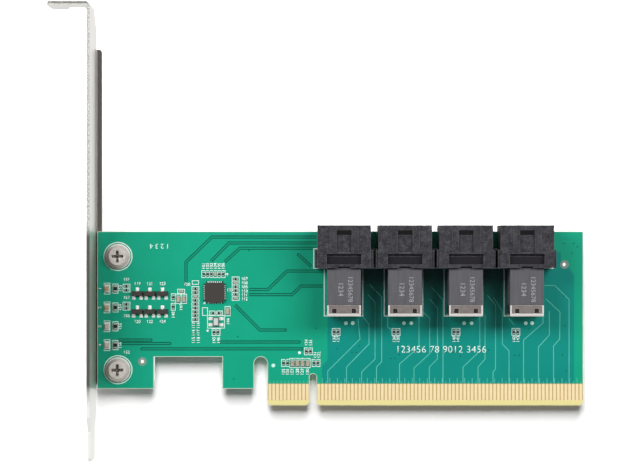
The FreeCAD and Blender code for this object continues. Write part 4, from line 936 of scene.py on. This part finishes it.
def print_figures(bm, text, x, z, height, turn=0, level=INK_LEVEL, spread=0.0, space=1.0):
    """Plain figures, centred on a spot of the card; a spread thickens their strokes."""
    curve = bpy.data.curves.new("figures", "FONT")
    curve.body = text
    curve.size = height / FIGURE_SHARE
    curve.offset = spread
    curve.space_character = space
    curve.resolution_u = 3
    curve.align_x = "CENTER"
    curve.align_y = "CENTER"
    holder = bpy.data.objects.new("figures", curve)
    mesh = bpy.data.meshes.new_from_object(holder)
    mesh.transform(on_card(x, z, level, turn))
    before = set(bm.faces)
    bm.from_mesh(mesh)
    bmesh.ops.dissolve_degenerate(bm, dist=FIGURE_FUSE, edges=bm.edges[:])
    thicken(bm, list(set(bm.faces) - before), INK_RISE)
    bpy.data.objects.remove(holder)
    bpy.data.curves.remove(curve)
    bpy.data.meshes.remove(mesh)


bm = bmesh.new()
for kind, first, second in chips:
    spots = first + second
    low = [min(spot[axis] for spot in spots) for axis in (0, 2)]
    high = [max(spot[axis] for spot in spots) for axis in (0, 2)]
    wide, tall = LED_MARGIN if kind == "led" else CHIP_MARGIN
    if high[0] - low[0] > high[1] - low[1]:
        wide, tall = tall, wide
    print_box(bm, low[0] - wide, high[0] + wide, low[1] - tall, high[1] + tall)
for middle in SOCKETS:
    for half, bottom, top in SOCKET_BOXES:
        print_box(bm, middle - half, middle + half, bottom, top, RING_LINE)
for x, z in SCREWS:
    hole, ring = SCREW_PRINT
    lay_disc(bm, x, z, ring, *INK_LEVELS, hole, segments=48)
for x, z, width, height in PART_BOXES:
    print_box(bm, x - width / 2, x + width / 2, z - height / 2, z + height / 2)
for number, (x, z, turn) in enumerate(LABELS):
    label = str(FIRST_LABEL + number)
    print_figures(bm, label, x, z, FIGURE_HEIGHT, turn, spread=LABEL_SPREAD)
for number, (x, z) in enumerate(LAMP_FIGURES, 1):
    print_figures(bm, str(number), x, z, FIGURE_HEIGHT, 90, spread=LABEL_SPREAD)
print_figures(bm, *TOP_FIGURES)
print_figures(bm, *LONG_FIGURES, spread=LONG_SPREAD, space=LONG_SPACE)
for x, z, radius in DOTS:
    lay_disc(bm, x, z, radius, *INK_LEVELS, segments=16)
finish_piece(bm, "legend_print", ink)


# Laser marks: plain figures burnt into the top of each block of wafers. They have no
# thickness to speak of and face the same way on all four sockets.

WAFER_LEVEL = BOARD_FACE + 9.9
MARK_MIDDLE = 31.3
MARKS = [("12345678", 1.6, 1.2), ("1234", -0.9, 1.3)]

# Polymer foamed by the beam: a dry pale grey.
laser_mark = mottled_finish(
    "foamed_laser_mark", 0.3, 2, "#87868A", "#B4B3B6", {"Roughness": 0.7, "IOR": 1.5})

bm = bmesh.new()
for middle in SOCKETS:
    for figures, across, height in MARKS:
        print_figures(bm, figures, middle + across, MARK_MIDDLE, height, -90, WAFER_LEVEL)
finish_piece(bm, "wafer_marks", laser_mark)


# Camera: straight in front of the component side, at the height of the bracket's middle
# and far enough off that the card keeps its proportions.

CAMERA_SPOT = (0.8, 45.0)
CAMERA_DISTANCE = 560.0
PIXELS_PER_MM = 3.745
FRAME_WIDTH = 632

lens = bpy.data.cameras.new("photo_camera")
lens.sensor_width = 36
lens.lens = PIXELS_PER_MM * CAMERA_DISTANCE * lens.sensor_width / FRAME_WIDTH
camera = bpy.data.objects.new("photo_camera", lens)
camera.location = Vector((CAMERA_SPOT[0], -BOARD_FACE - CAMERA_DISTANCE, CAMERA_SPOT[1])) * MM
camera.rotation_euler = (math.radians(90), 0, 0)
bpy.context.collection.objects.link(camera)
bpy.context.scene.camera = camera


# Stage: a white table stands upright behind the card, cut away under it, and shows only
# its front. Two long soft boxes and a light from behind are for the card, and a high wide
# one throws the card's shadow on the table. The room on the camera's side is dark.

TABLE_LEVEL = 2.95
TABLE_SIZE = 4000.0
UNDER_CARD = [(-56, 69.5, 13.5, 44.5), (2.5, 69.5, 1.5, 13.5), (-56, -42.5, 6.5, 13.5)]
CLEAR_MIDDLE = (12, 40)
CLEAR_REACH = (76, 100)
CLEAR_SQUASH = 1.55

# White paper: takes the shadow near the card, and goes over to plain white further off.
table_white = new_material("white_table")
path = add_node(table_white, "LightPath", {})
facing = add_node(table_white, "NewGeometry", {})
front = add_node(
    table_white, "Math", {0: 1.0, 1: facing.outputs["Backfacing"]}, operation="SUBTRACT")
seen = add_node(
    table_white, "Math", {0: path.outputs["Is Camera Ray"], 1: front}, operation="MULTIPLY")
paper = add_node(table_white, "BsdfDiffuse", {"Color": linear("#FFFFFF")})
place = add_node(table_white, "TexCoord", {}).outputs["Object"]
oval = add_node(table_white, "Mapping", {"Vector": place, "Scale": (1, 1, CLEAR_SQUASH)})
away = add_node(
    table_white, "VectorMath",
    {
        0: oval, 1: Vector((CLEAR_MIDDLE[0], TABLE_LEVEL, CLEAR_MIDDLE[1])) * MM,
    }, operation="DISTANCE")
far = add_node(
    table_white, "MapRange",
    {"Value": away, "From Min": CLEAR_REACH[0] * MM, "From Max": CLEAR_REACH[1] * MM})
glow = add_node(table_white, "Emission", {"Color": linear("#FFFFFF"), "Strength": far})
lit = add_node(table_white, "AddShader", {0: paper, 1: glow})
clear = add_node(table_white, "BsdfTransparent", {})
surface = add_node(table_white, "MixShader", {0: seen, 1: clear, 2: lit})
add_node(table_white, "OutputMaterial", {"Surface": surface})

bm = bmesh.new()
bmesh.ops.create_grid(
    bm, x_segments=1, y_segments=1, size=TABLE_SIZE * MM / 2,
    matrix=Matrix.Translation((0, TABLE_LEVEL * MM, 0)) @ UPRIGHT)
for left, right, bottom, top in UNDER_CARD:
    for cut, direction in (
        (left, (1, 0, 0)), (right, (1, 0, 0)), (bottom, (0, 0, 1)), (top, (0, 0, 1)),
    ):
        bmesh.ops.bisect_plane(
            bm, geom=bm.verts[:] + bm.edges[:] + bm.faces[:],
            plane_co=Vector(direction) * cut * MM, plane_no=direction)
    hidden = []
    for face in bm.faces:
        spot = face.calc_center_median() / MM
        if left < spot.x < right and bottom < spot.z < top:
            hidden.append(face)
    bmesh.ops.delete(bm, geom=hidden, context="FACES")
mesh = bpy.data.meshes.new("table")
bm.to_mesh(mesh)
bm.free()
mesh.materials.append(table_white)
table = bpy.data.objects.new("table", mesh)
table.visible_shadow = False
bpy.context.collection.objects.link(table)

# The room: plain white behind the table, and in the gloss pale walls that go dark towards
# the camera.
world = bpy.data.worlds.new("studio")
bpy.context.scene.world = world
world.use_nodes = True
world.node_tree.nodes.clear()
path = add_node(world, "LightPath", {})
towards = add_node(world, "TexCoord", {}).outputs["Generated"]
towards = add_node(world, "SeparateXYZ", {"Vector": towards})
room = add_node(
    world, "MapRange",
    {
        "Value": towards.outputs["Y"], "From Min": -0.97, "From Max": -0.55, "To Min": 0.06,
        "To Max": 0.9,
    }, interpolation_type="SMOOTHSTEP")
ambient = add_node(world, "Background", {"Color": linear("#FFFFFF"), "Strength": 0.15})
walls = add_node(world, "Background", {"Color": linear("#FFFFFF"), "Strength": room})
backdrop = add_node(world, "Background", {"Color": linear("#FFFFFF"), "Strength": 1.0})
sky = add_node(world, "MixShader", {0: path.outputs["Is Glossy Ray"], 1: ambient, 2: walls})
shown = add_node(
    world, "Math",
    {0: path.outputs["Is Camera Ray"], 1: path.outputs["Is Transmission Ray"]}, operation="MAXIMUM")
sky = add_node(world, "MixShader", {0: shown, 1: sky, 2: backdrop})
add_node(world, "OutputWorld", {"Surface": sky})

# Lights: the table's own light falls on the table alone, and the others leave it out.
on_table = bpy.data.collections.new("lit_by_table_light")
on_table.objects.link(table)
off_table = bpy.data.collections.new("lit_by_soft_boxes")
off_table.objects.link(table)
off_table.collection_objects[0].light_linking.link_state = "EXCLUDE"
for name, place, width, height, power, bounces, lit in (
    ("left_strip", (-680, -600, 340), 950, 250, 7.4, 12, off_table),
    ("right_strip", (680, -600, 340), 950, 250, 7.4, 12, off_table),
    ("back_light", (120, 560, 640), 500, 500, 8.8, 0, off_table),
    ("table_light", (-58, -600, 900), 700, 1350, 34, 12, on_table),
):
    lamp = bpy.data.lights.new(name, "AREA")
    lamp.shape = "RECTANGLE"
    lamp.size = width * MM
    lamp.size_y = height * MM
    lamp.energy = power
    lamp.cycles.max_bounces = bounces
    lamp_object = bpy.data.objects.new(name, lamp)
    lamp_object.location = Vector(place) * MM
    lamp_object.light_linking.receiver_collection = lit
    aim = Vector((place[0], 0, CAMERA_SPOT[1])) - Vector(place)
    lamp_object.rotation_euler = aim.to_track_quat("-Z", "Y").to_euler()
    bpy.context.collection.objects.link(lamp_object)

bpy.context.scene.view_settings.view_transform = "Standard"
